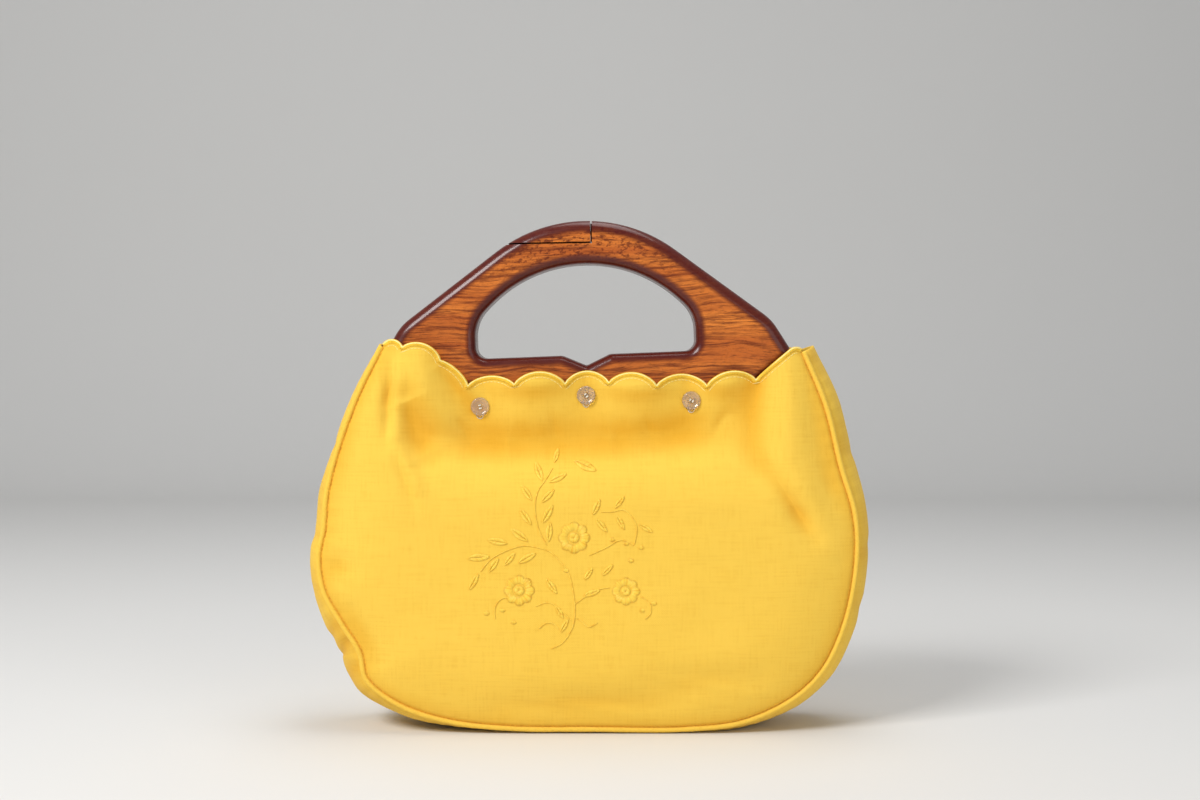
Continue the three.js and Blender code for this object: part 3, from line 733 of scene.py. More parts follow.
@dataclass(frozen=True)
class PhotoView:
    """The photograph's view: the camera's place in millimetres and its frame in pixels."""

    across: float = 6.0
    away: float = 1065.5
    height: float = 220.3
    reach: float = 1810.0
    middle: float = 600.0
    horizon: float = 350.0
    centre: float = 400.0
    sensor: float = 36.0
    width: float = 1200.0
    # How far the front panel is taken to stand out at the first guess, in millimetres.
    nearer: float = 40.0

    def on_front(self, pixels: Array, shape: CoverShape) -> Array:
        """Where the cover shows at pixels of the photograph.

        Args:
            pixels: one (right, down) row each.
            shape: the cover.

        Returns:
            One (x, z) row each, in millimetres, on the front panel.
        """
        pixels = np.atleast_2d(np.asarray(pixels, float))
        away = np.full(len(pixels), self.away - self.nearer)
        for _ in range(3):
            x = self.across + (pixels[:, 0] - self.middle) * away / self.reach
            z = self.height - (pixels[:, 1] - self.horizon) * away / self.reach
            away = self.away - shape.depth(x, z, Face.FRONT)
        return np.column_stack([x, z])

    def make(self) -> None:
        """Adds the camera and makes it the scene's."""
        data = bpy.data.cameras.new("photo_view")
        data.sensor_width = self.sensor
        data.lens = self.sensor * self.reach / self.width
        data.clip_start, data.clip_end = 0.01, 50.0
        camera = link("photo_view", data)
        camera.location = (self.across * MM, -self.away * MM, self.height * MM)
        drop = math.atan((self.centre - self.horizon) / self.reach)
        camera.rotation_euler = (math.pi / 2 - drop, 0.0, 0.0)
        bpy.context.scene.camera = camera


@dataclass
class CoverShape:
    """The cover's form: its seam, its scalloped rim and how far its panels stand out."""

    seam_half_width: float = 156.0
    height: float = 224.0
    half_depth_low: float = 31.0
    half_depth_high: float = 23.0
    wall: float = 1.5
    gusset_puff: float = 15.0
    belly_puff: float = 9.0
    belly_reach: float = 45.0
    fold_depth: float = 8.0
    piping_radius: float = 1.5
    scallop_rise: float = 7.0
    wood_half_depth: float = 15.5
    cloth_clearance: float = 1.2
    wood_base: float = 180.0
    wood_half_width: float = 121.5
    left_hold: Span = (0.42, 0.64)
    right_hold: Span = (0.58, 0.75)
    pull: Span = (0.58, 0.87)
    lowest: float = 1.8
    soft_rest: float = 2.2
    square_reach: float = 30.0
    tuck_start: float = 2.0
    tuck_round: float = 6.0
    tuck: float = 0.6
    fold_ends: float = 0.5
    crease_ends: float = 0.15
    # Soft lumps of the cloth: their size and rise, the last ones also beside the seam.
    lumps: tuple[Span, ...] = ((31.0, 0.45), (12.0, 0.13), (4.5, 0.04))
    pucker_pitch: float = 9.0
    pucker_rise: float = 0.34
    pucker_reach: float = 7.0
    groove_depth: float = 1.1
    groove_width: float = 1.2
    # Bulges of the cloth by its buttons: from, to, height above the floor, and how far out.
    swags: tuple[tuple[float, float, float, float], ...] = (
        (-66.0, -2.0, 205.0, 6.8),
        (-2.0, 58.8, 203.0, 6.4),
        (56.0, 98.0, 205.0, 5.4),
        (-90.0, -60.0, 196.0, 2.0),
    )
    # Their two humps: share of the rise, and the reach upwards and downwards.
    swag_humps: tuple[Triple, ...] = ((0.35, 16.0, 7.0), (0.65, 18.0, 27.0))
    swag_sag: float = 3.0

    def __post_init__(self) -> None:
        """Works out the seam and the rim from their tables."""
        rows = np.array(SEAM_ROWS)
        knots = rows[:, :2] * (self.seam_half_width, self.height)
        knots[:, 1] = np.maximum(knots[:, 1], self.lowest)
        self.seam = Spline(knots)
        self.seam.points[:, 1] = np.maximum(self.seam.points[:, 1], self.lowest)
        self.puffs = rows[:, 2] * self.gusset_puff
        line = self.seam.at(np.linspace(0.0, self.seam.length, 190))
        run_on = 2 * self.scallop_rise
        ends = [
            end + run_on * (end - inner) / np.linalg.norm(end - inner)
            for end, inner in ((line[0], line[1]), (line[-1], line[-2]))
        ]
        self.border = np.vstack([ends[0], line, ends[1]])
        self.rim = self.scallops(18)

    def scallops(self, steps: int) -> Spline:
        """The scalloped top edge from the left horn to the right one."""
        rows = np.array(SCALLOP_ROWS)
        valleys = rows[:, :2] * (self.seam_half_width, self.height)
        share = np.linspace(0.0, 1.0, steps, endpoint=False)[:, None]
        line = []
        for start, end, rise in zip(valleys[:-1], valleys[1:], rows[:-1, 2], strict=True):
            across = np.array([start[1] - end[1], end[0] - start[0]])
            across /= np.linalg.norm(across)
            arch = rise * self.scallop_rise * (4 * share * (1 - share)) ** 0.8
            line.append(start + (end - start) * share + across * arch)
        return Spline(np.vstack([*line, valleys[-1:]]), 3)

    def half_depth(self, z: Array) -> Array:
        """Half the bag's depth at the piping, for heights above the floor."""
        share = smooth_step(0.0, self.height, z)
        return self.half_depth_low + (self.half_depth_high - self.half_depth_low) * share

    def outward(self, lengths: Array) -> Array:
        """The way out of the bag at lengths along the seam, in the plane of the panels."""
        along = self.seam.along(lengths)
        return np.column_stack([along[:, 1], -along[:, 0]])

    def to_seam(self, x: Array, z: Array) -> tuple[Array, Array]:
        """Distance from points to the seam, and the seam's length up to the nearest point."""
        start, way = self.border[:-1], np.diff(self.border, axis=0)
        square = (way**2).sum(axis=1)
        passed = np.concatenate([[0.0], np.cumsum(np.sqrt(square))])[:-1]
        place = np.column_stack([np.ravel(x), np.ravel(z)])
        near, along = np.empty(len(place)), np.empty(len(place))
        at_once = 6000
        for low in range(0, len(place), at_once):
            part = place[low : low + at_once, None, :] - start
            share = np.clip((part * way).sum(axis=2) / square, 0.0, 1.0)
            gap = np.linalg.norm(part - share[..., None] * way, axis=2)
            best = gap.argmin(axis=1)
            rows = np.arange(len(best))
            near[low : low + at_once] = gap[rows, best]
            along[low : low + at_once] = passed[best] + share[rows, best] * np.sqrt(square[best])
        return near.reshape(np.shape(x)), along.reshape(np.shape(x))

    def fold(self, x: Array, z: Array, folds: tuple[Fold, ...], ends: float) -> Array:
        """How far folds move a panel outwards at each point.

        Args:
            x: places along the bag.
            z: heights.
            folds: the folds.
            ends: how deep a fold still is at its ends, as a share of its depth.

        Returns:
            One offset for each point.
        """
        total = np.zeros(np.shape(x))
        for fold in folds:
            start = np.array([fold.from_out * self.seam_half_width, fold.from_up * self.height])
            way = np.array([fold.to_out * self.seam_half_width, fold.to_up * self.height]) - start
            off_x, off_z = x - start[0], z - start[1]
            share = np.clip((off_x * way[0] + off_z * way[1]) / (way @ way), 0.0, 1.0)
            away = np.hypot(off_x - share * way[0], off_z - share * way[1])
            crest = fold.depth * self.fold_depth * (ends + (1 - ends) * np.sin(math.pi * share))
            total += crest * np.exp(-((away / (fold.width * self.height)) ** 2))
        return total

    def depth(self, x: Array, z: Array, face: Face, fine: bool = True) -> Array:
        """How far the middle of a panel's wall stands from the middle plane of the bag.

        Args:
            x: places along the bag.
            z: heights.
            face: which panel.
            fine: with the small creases, the puckers and the bulges by the buttons.

        Returns:
            One depth for each point.
        """
        front = face is Face.FRONT
        x, z = np.asarray(x, float), np.asarray(z, float)
        distance, along = self.to_seam(x, z)
        slack = 1 - np.minimum(distance / self.belly_reach, 1.0)
        belly = self.half_depth(z) + self.belly_puff * (1 - slack * slack)
        half = self.seam_half_width
        low, high = (
            np.where(x < 0, left * half, right * half)
            for left, right in zip(self.left_hold, self.right_hold, strict=True)
        )
        low_pull, high_pull = (share * self.height for share in self.pull)
        pull = (1 - smooth_step(low, high, np.abs(x))) * smooth_step(low_pull, high_pull, z)
        on_wood = self.wood_half_depth + self.cloth_clearance + self.wall / 2
        depth = belly + (on_wood - belly) * pull
        fade = np.minimum(distance / (2 * self.fold_depth), 1.0)
        depth += fade * self.fold(x, z, FRONT_FOLDS if front else BACK_FOLDS, self.fold_ends)
        if fine:
            creases = FRONT_CREASES if front else BACK_CREASES
            depth += fade * self.fold(x, z, creases, self.crease_ends)
            seed = 11 if front else 47
            for place, (cell, rise) in enumerate(self.lumps):
                shown = 1.0 if place == len(self.lumps) - 1 else fade
                depth += shown * rise * soft_noise(x, z, cell, seed + place)
            wave = np.sin(along * (TURN / self.pucker_pitch) + 2.0 * np.sin(along / 27.0))
            tight = 0.5 + 0.5 * soft_noise(along, along * 0, 40.0, seed + len(self.lumps))
            depth += self.pucker_rise * tight * wave * np.exp(-distance / self.pucker_reach)
            groove = (distance - self.piping_radius) / self.groove_width
            depth -= self.groove_depth * np.exp(-(groove**2))
        below = soft_positive(self.wood_base + self.tuck_start - z, self.tuck_round)
        gap = depth - (on_wood - self.tuck * below)
        lift = soft_positive(gap, self.soft_rest) - gap
        depth = depth + lift * smooth_step(self.wood_half_width + 4.0, self.wood_half_width, np.abs(x))
        return depth + self.swag(x, z) if fine else depth

    def swag(self, x: Array, z: Array) -> Array:
        """How far the cloth bulges between and beside its buttons, below the scallops."""
        total = np.zeros(np.shape(x))
        for start, end, level, rise in self.swags:
            share = np.clip((x - start) / (end - start), 0.0, 1.0)
            hump = np.sin(math.pi * share) ** 1.5
            away = z - (level - self.swag_sag * hump)
            for part, above, below in self.swag_humps:
                reach = np.where(away > 0, above, below)
                total += rise * hump * part * np.exp(-((away / reach) ** 2))
        return total

    def normal(self, x: Array, z: Array, face: Face, probe: float = 0.6) -> Array:
        """The way out of a panel at each point, one unit row each."""
        here = self.depth(x, z, face)
        slope_x = (self.depth(x + probe, z, face) - here) / probe
        slope_z = (self.depth(x, z + probe, face) - here) / probe
        way = np.stack([-slope_x, np.full(np.shape(x), float(face.value)), -slope_z], axis=-1)
        return way / np.linalg.norm(way, axis=-1, keepdims=True)

    def outside(self, place: Array, face: Face) -> Array:
        """How far the outside of a panel stands out at (x, z) rows, straight through its wall."""
        return self.depth(place[:, 0], place[:, 1], face) + self.wall / 2

    def on_panel(self, place: Array, face: Face, lift: float = 0.0) -> Array:
        """Points on a panel's outside at (x, z) rows, lifted off it by some millimetres."""
        x, z = place[:, 0], place[:, 1]
        middle = np.column_stack([x, face.value * self.depth(x, z, face), z])
        return middle + (self.wall / 2 + lift) * self.wall_way(x, z, face)

    def wall_way(self, x: Array, z: Array, face: Face) -> Array:
        """The way through a panel's wall: square to the cloth, but straight out at the seam."""
        fade = np.minimum(self.to_seam(x, z)[0] / self.square_reach, 1.0)[..., None]
        straight = np.array([0.0, face.value, 0.0])
        return self.normal(x, z, face) * fade + straight * (1 - fade)

    def hollow(self, x: Array, z: Array, face: Face, step: float = 2.5, deepest: float = 3.6) -> Array:
        """How far each point lies in a hollow of its panel, from 0 to 1 where it is deepest: the mask
        of the painted shade in the folds.

        Args:
            x: places along the bag.
            z: heights.
            face: which panel.
            step: how fine the grid is on which the panel is smoothed.
            deepest: how far the deepest hollows lie under the smoothed panel.

        Returns:
            One share for each point.
        """
        xs, zs = np.arange(-170.0, 171.0, step), np.arange(-10.0, 241.0, step)
        grid = np.meshgrid(xs, zs, indexing="ij")
        depth = self.depth(*grid, face, fine=False) + self.swag(*grid)
        mean = depth
        for _ in range(50):
            wide = np.pad(mean, 1, mode="edge")
            mean = (wide[:-2, 1:-1] + wide[2:, 1:-1] + wide[1:-1, :-2] + wide[1:-1, 2:]) / 4
        lack = np.clip((mean - depth) / deepest, 0.0, 1.0)
        i = np.clip((np.ravel(x) - xs[0]) / step, 0, len(xs) - 1.001)
        j = np.clip((np.ravel(z) - zs[0]) / step, 0, len(zs) - 1.001)
        a, b = i.astype(int), j.astype(int)
        return between(lack, a, b, i - a, j - b)


@dataclass
class StitchWork:
    """Stitches of one kind: chains of points that Geometry Nodes turn into threads."""

    name: str
    radius: float
    arch: float
    steps: int = 5
    sides: int = 6
    taper: float = 0.25
    chains: list[Array] = field(default_factory=list)
    lifts: list[Array] = field(default_factory=list)

    def add(self, chain: Array, lift: Array) -> None:
        """Adds one stitch: its points in millimetres, and the way out of the cloth."""
        self.chains.append(chain)
        self.lifts.append(lift)

    def add_rows(self, rows: list[Array], lifts: Array) -> StitchWork:
        """Adds stitches: their first points, their second ones and so on, and each one's way out."""
        for chain, lift in zip(np.stack(rows, axis=1), lifts, strict=True):
            self.add(chain, lift)
        return self

    def add_pairs(self, rows: list[Array], shape: CoverShape, face: Face) -> StitchWork:
        """Adds stitches that stand off the cloth as it lies at their first points."""
        return self.add_rows(rows, shape.normal(rows[0][:, 0], rows[0][:, 2], face))

    @staticmethod
    def tree() -> bpy.types.NodeTree:
        """The node tree that makes the threads, built once."""
        if "stitches" in bpy.data.node_groups:
            return bpy.data.node_groups["stitches"]
        tree = bpy.data.node_groups.new("stitches", "GeometryNodeTree")
        sockets = (
            ("Guides", "INPUT", "Geometry"),
            ("Thread Radius", "INPUT", "Float"),
            ("Arch", "INPUT", "Float"),
            ("Steps", "INPUT", "Int"),
            ("Sides", "INPUT", "Int"),
            ("Taper", "INPUT", "Float"),
            ("Threads", "OUTPUT", "Geometry"),
        )
        for name, way, kind in sockets:
            tree.interface.new_socket(name=name, in_out=way, socket_type=f"NodeSocket{kind}")
        graph = NodeGraph(tree)
        given = graph.add("NodeGroupInput").outputs
        curve = graph.take("GeometryNodeMeshToCurve", Mesh=given["Guides"])
        smooth = {"spline_type": "CATMULL_ROM"}
        curve = graph.take("GeometryNodeCurveSplineType", smooth, Curve=curve)
        curve = graph.take("GeometryNodeResampleCurve", Curve=curve, Count=given["Steps"])
        share = graph.add("GeometryNodeSplineParameter").outputs["Factor"]
        left = graph.maths("SUBTRACT", 1.0, share)
        hump = graph.maths("MULTIPLY", graph.maths("MULTIPLY", share, left), 4.0)
        vector = {"data_type": "FLOAT_VECTOR"}
        way = graph.take("GeometryNodeInputNamedAttribute", vector, Name="lift")
        rise = graph.maths("MULTIPLY", hump, given["Arch"])
        offset = graph.take("ShaderNodeVectorMath", {"operation": "SCALE"}, in0=way, Scale=rise)
        curve = graph.take("GeometryNodeSetPosition", Geometry=curve, Offset=offset)
        girth = graph.maths("MAXIMUM", graph.maths("POWER", hump, given["Taper"]), 0.3)
        curve = graph.take("GeometryNodeSetCurveRadius", Curve=curve, Radius=girth)
        size = {"Resolution": given["Sides"], "Radius": given["Thread Radius"]}
        ring = graph.take("GeometryNodeCurvePrimitiveCircle", **size)
        sweep = graph.add("GeometryNodeCurveToMesh", Curve=curve, Profile_Curve=ring, Fill_Caps=True)
        if "Scale" in sweep.inputs:
            tree.links.new(girth, sweep.inputs["Scale"])
        graph.add("NodeGroupOutput", Threads=sweep.outputs[0])
        return tree

    def build(self) -> Piece:
        """Makes the threads, each with a tone of its own, as a plain mesh."""
        sizes = [len(chain) for chain in self.chains]
        starts = np.concatenate([[0], np.cumsum(sizes)])[:-1]
        edges = [
            (int(start) + step, int(start) + step + 1)
            for start, size in zip(starts, sizes, strict=True)
            for step in range(size - 1)
        ]
        mesh = bpy.data.meshes.new(self.name)
        mesh.from_pydata((np.vstack(self.chains) * MM).tolist(), edges, [])
        piece = link(self.name, mesh)
        store(piece, "lift", np.repeat(np.array(self.lifts), sizes, axis=0))
        tones = np.random.default_rng(5).uniform(0.0, 1.0, len(sizes)) ** 2
        store(piece, "tone", np.repeat(tones, sizes))
        worker = piece.modifiers.new("stitches", "NODES")
        worker.node_group = self.tree()
        values = {
            "Thread Radius": self.radius * MM,
            "Arch": self.arch * MM,
            "Steps": self.steps,
            "Sides": self.sides,
            "Taper": self.taper,
        }
        for item in worker.node_group.interface.items_tree:
            if item.name in values:
                worker[item.identifier] = values[item.name]
        take_mesh(piece)
        with edited(piece.data) as work:
            bmesh.ops.recalc_face_normals(work, faces=work.faces)
        piece.data.shade_smooth()
        return piece


@dataclass
class Panel:
    """One big panel of the cover: a sewn cotton wall from the seam up to the scalloped rim."""

    shape: CoverShape
    face: Face
    columns: int = 360
    rows: int = 92
    inset: float = 1.35
    tuck: float = 0.25
    shaded_from: float = 156.0
    shade_height: float = 18.0
    shade_slope: float = 2.4
    most_shade: float = 0.8
    fullness: float = 1.05

    def row_shares(self) -> Array:
        """Shares of the rows, closer together by the seam and by the rim."""
        place = np.linspace(0.0, 1.0, self.rows - 1)
        step = 0.14 + 0.86 * smooth_step(0.0, 0.22, place)
        step *= 0.42 + 0.58 * smooth_step(1.0, 0.86, place)
        return np.concatenate([[0.0], np.cumsum(step)]) / step.sum()

    def net(self) -> Array:
        """The panel's points in the plane of the panels, by column and row."""
        lengths = np.linspace(0.0, self.shape.seam.length, self.columns)
        low = self.shape.seam.at(lengths) - self.inset * self.shape.outward(lengths)
        rim = self.shape.rim
        high = rim.at(np.linspace(0.0, rim.length, self.columns))
        high[:, 1] -= self.tuck
        low[0], low[-1] = high[0], high[-1]
        shares = self.row_shares()[None, :, None]
        return low[:, None, :] * (1 - shares) + high[:, None, :] * shares

    def flat_area(self) -> float:
        """Area of the cut panel in square metres, with a little fullness for the belly."""
        net = self.net()
        outline = np.vstack([net[:, 0], net[::-1, -1]])
        x, z = outline[:, 0], outline[:, 1]
        doubled = abs(np.sum(x * np.roll(z, -1) - z * np.roll(x, -1)))
        return self.fullness * doubled / 2 * MM * MM

    def build(self) -> Piece:
        """The wall, with its cloth's map and its painted shade: how hollow each point lies, and how
        far it faces down under the swags.
        """
        net = self.net()
        x, z = net[..., 0], net[..., 1]
        way = self.shape.wall_way(x, z, self.face)
        depth = self.shape.depth(x, z, self.face)
        middle = np.stack([x, self.face.value * depth, z], axis=-1)
        half = self.shape.wall / 2
        points = np.vstack([(middle + side * half * way).reshape(-1, 3) for side in (1, -1)])
        uv = np.tile(net.reshape(-1, 2), (2, 1))
        faces = wall_faces(self.columns, self.rows)
        piece = mesh_piece(f"{self.face.word}_panel", points, faces, uv)
        # Painted shade where the cloth faces down under the swags by the buttons, added to the painted
        # shade of the hollows.
        facing_down = np.clip(-self.shade_slope * way[..., 2], 0.0, self.most_shade)
        shade = facing_down * smooth_step(self.shaded_from, self.shaded_from + self.shade_height, z)
        hollow = np.minimum(self.shape.hollow(x, z, self.face) + shade.ravel(), 1.0)
        store(piece, "hollow", np.tile(hollow, 2))
        close_up(piece)
        return piece


@dataclass
class Gusset:
    """The side and bottom strip between the two pipings."""

    shape: CoverShape
    stations: int = 440
    across: int = 31
    edge: float = 1.45
    pucker_rise: float = 0.4
    pucker_reach: float = 6.0
    pucker_pitch: float = 8.5
    lump_rise: float = 0.5
    seam_pinch: float = 0.9
    # Pleats: where along the seam in millimetres, how deep, how wide and how slanted.
    pleats: tuple[tuple[float, float, float, float], ...] = (
        (176.0, -2.2, 5.0, 9.0),
        (190.0, -2.6, 5.5, 12.0),
        (205.0, -1.6, 4.5, 8.0),
        (120.0, -1.0, 4.0, 5.0),
        (60.0, -0.8, 4.0, -6.0),
        (520.0, -1.1, 5.0, -8.0),
        (560.0, -0.9, 4.0, 6.0),
        (610.0, -1.0, 4.5, -5.0),
    )

    def pleat_forms(self, run: Array, side: Array) -> Iterator[tuple[float, Array]]:
        """Each pleat's depth with its form over the strip, deeper towards the front."""
        for place, deep, wide, slant in self.pleats:
            away = (run - place - slant * side) / wide
            yield deep, np.exp(-away * away) * (0.55 - 0.45 * side)

    def build(self) -> Piece:
        """The strip's wall, flat on the floor, with puckers along both seams and painted shade in its
        pleats and dips.
        """
        shape = self.shape
        lengths = np.linspace(0.0, shape.seam.length, self.stations)
        share = np.sin(np.linspace(-math.pi / 2, math.pi / 2, self.across))
        point, out = shape.seam.at(lengths), shape.outward(lengths)
        puff = np.interp(shape.seam.place(lengths), np.arange(len(shape.puffs)), shape.puffs)
        half = (shape.half_depth(point[:, 1]) - self.edge)[:, None]
        run, side = np.meshgrid(lengths, share, indexing="ij")
        bulge = puff[:, None] * np.maximum(1 - side * side, 0.0) ** 0.7
        near = np.exp(-(1 - np.abs(side)) * half / self.pucker_reach)
        wave = np.sin(run * (TURN / self.pucker_pitch) + 2.2 * np.sin(run / 33.0) + side)
        bulge += self.pucker_rise * near * wave
        held = np.minimum((1 - np.abs(side)) * 8.0, 1.0)
        lumps = soft_noise(run, side * 30.0, 24.0, 71)
        # Painted shade: where the lumps dip and in the pleats, the cotton is tinted deeper.
        low = np.clip(-lumps * 0.4, 0.0, 1.0)
        for deep, form in self.pleat_forms(run, side):
            bulge += held * deep * form
            low += np.clip(-deep / 3.0, 0.0, 1.0) * form
        bulge += held * self.lump_rise * lumps - self.seam_pinch * (1 - held) ** 2
        grids = []
        for shift, floor in ((shape.wall / 2, 0.0), (-shape.wall / 2, shape.wall)):
            x, z = (
                point[:, axis][:, None] + out[:, axis][:, None] * (bulge + shift) for axis in (0, 1)
            )
            grids.append(np.stack([x, side * half, np.maximum(z, floor)], axis=-1).reshape(-1, 3))
        uv = np.stack([side * half * 1.15, run], axis=-1).reshape(-1, 2)
        faces = wall_faces(self.stations, self.across)
        piece = mesh_piece("gusset", np.vstack(grids), faces, np.tile(uv, (2, 1)))
        store(piece, "hollow", np.tile(np.clip(low, 0.0, 1.0).ravel(), 2))
        close_up(piece)
        return piece


@dataclass
class Piping:
    """The corded seam between a panel and the gusset."""

    shape: CoverShape
    face: Face
    stations: int = 620
    sides: int = 14
    lumps: float = 0.05
    twist: float = 0.035
    twist_pitch: float = 3.4
    floor: float = 0.2

    def build(self) -> Piece:
        """The cord in its bias-cut cover, a little lumpy as sewn."""
        shape = self.shape
        lengths = np.linspace(0.0, shape.seam.length, self.stations)
        point, out = shape.seam.at(lengths), shape.outward(lengths)
        y = self.face.value * shape.half_depth(point[:, 1])
        middle = np.column_stack([point[:, 0], y, point[:, 1]])
        outward = np.column_stack([out[:, 0], np.zeros(self.stations), out[:, 1]])
        run, turn = np.meshgrid(lengths, round_angles(self.sides), indexing="ij")
        noise = soft_noise(run, turn * 0, 7.0, 21 if self.face is Face.FRONT else 23)
        wave = np.sin(TURN * run / self.twist_pitch + turn)
        girth = shape.piping_radius * (1.0 + self.lumps * noise + self.twist * wave)
        ring = (
            middle[:, None, :]
            + (girth * np.cos(turn))[..., None] * outward[:, None, :]
            + (girth * np.sin(turn))[..., None] * np.array([0.0, 1.0, 0.0])
        )
        ring[..., 2] = np.maximum(ring[..., 2], self.floor)
        points = np.vstack([ring.reshape(-1, 3), middle[:1], middle[-1:]])
        uv = np.stack([turn * shape.piping_radius, run], axis=-1).reshape(-1, 2)
        uv = np.vstack([uv, [[0.0, 0.0], [0.0, shape.seam.length]]])
        faces = tube_faces(self.stations, self.sides)
        piece = mesh_piece(f"piping_{self.face.word}", points, faces, uv)
        # No painted shade on the piping.
        store(piece, "hollow", np.zeros(len(points)))
        close_up(piece)
        return piece


@dataclass
class Edging:
    """The satin stitched rim of the scallops, with a purl on its edge and back stitches inside."""

    shape: CoverShape
    face: Face
    pitch: float = 0.43
    wobble: float = 0.12
    # Points of a satin stitch, from inside over the edge: into the panel, and off its outside.
    satin_points: tuple[Span, ...] = ((-0.35, -1.35), (-0.75, -0.5), (-0.1, 0.4), (1.75, 0.05))
    purl_pitch: float = 0.75
    purl_length: float = 1.5
    purl_reach: Span = (-0.45, -0.05)
    purl_lift: float = 0.42
    line_in: float = 2.7
    stitch: float = 2.1
    gap: float = 0.35

    def rim_frame(self, lengths: Array) -> tuple[Array, Array]:
        """Points of the rim and the way into the panel there, in the plane of the panels."""
        point, along = self.shape.rim.at(lengths), self.shape.rim.along(lengths)
        return point, np.column_stack([along[:, 1], -along[:, 0]])

    def satin(self) -> Piece:
        """The satin stitches over the rim."""
        lengths = np.arange(0.5, self.shape.rim.length - 0.5, self.pitch)
        point, inward = self.rim_frame(lengths)
        wobble = self.wobble * soft_noise(lengths, lengths * 0, 0.9, 31)[:, None]
        outside = self.shape.outside(point, self.face)
        rows = []
        for reach, height in self.satin_points:
            inside = reach > 0
            place = point + inward * (reach + (wobble if inside else 0.0))
            spots = self.shape.on_panel(place, self.face, height)
            if not inside:
                spots[:, 1] = self.face.value * (outside + height)
            rows.append(spots)
        lifts = self.shape.normal(point[:, 0], point[:, 1], self.face)
        work = StitchWork(f"satin_{self.face.word}", radius=0.27, arch=0.2, steps=8, sides=6)
        return work.add_rows(rows, lifts).build()

    def purl(self) -> Piece:
        """The twisted thread that lies along the very edge."""
        starts = np.arange(0.3, self.shape.rim.length - 1.6, self.purl_pitch)
        rows = []
        for lengths, reach in zip((starts, starts + self.purl_length), self.purl_reach, strict=True):
            point, inward = self.rim_frame(lengths)
            y = self.face.value * (self.shape.outside(point, self.face) + self.purl_lift)
            place = point + inward * reach
            rows.append(np.column_stack([place[:, 0], y, place[:, 1]]))
        work = StitchWork(f"purl_{self.face.word}", radius=0.38, arch=0.2, steps=4, sides=6)
        return work.add_pairs(rows, self.shape, self.face).build()

    def back_stitch(self) -> Piece:
        """The line of back stitches that runs inside the satin edge."""
        starts = np.arange(2.0, self.shape.rim.length - 4.0, self.stitch + self.gap)
        rows = []
        for lengths in (starts, starts + self.stitch):
            point, inward = self.rim_frame(lengths)
            rows.append(self.shape.on_panel(point + inward * self.line_in, self.face))
        work = StitchWork(f"back_stitch_{self.face.word}", radius=0.17, arch=0.12, steps=4, sides=5)
        return work.add_pairs(rows, self.shape, self.face).build()


@dataclass
class SeamStitches:
    """The line of machine stitches in the groove beside a piping."""

    shape: CoverShape
    face: Face
    inside: float = 2.1
    stitch: float = 2.2
    gap: float = 0.5

    def build(self) -> Piece:
        """Makes the stitches."""
        shape = self.shape
        starts = np.arange(3.0, shape.seam.length - 5.0, self.stitch + self.gap)
        rows = []
        for lengths in (starts, starts + self.stitch):
            place = shape.seam.at(lengths) - self.inside * shape.outward(lengths)
            rows.append(shape.on_panel(place, self.face, 0.02))
        work = StitchWork(f"seam_stitches_{self.face.word}", radius=0.15, arch=0.1, steps=4, sides=5)
        return work.add_pairs(rows, shape, self.face).build()


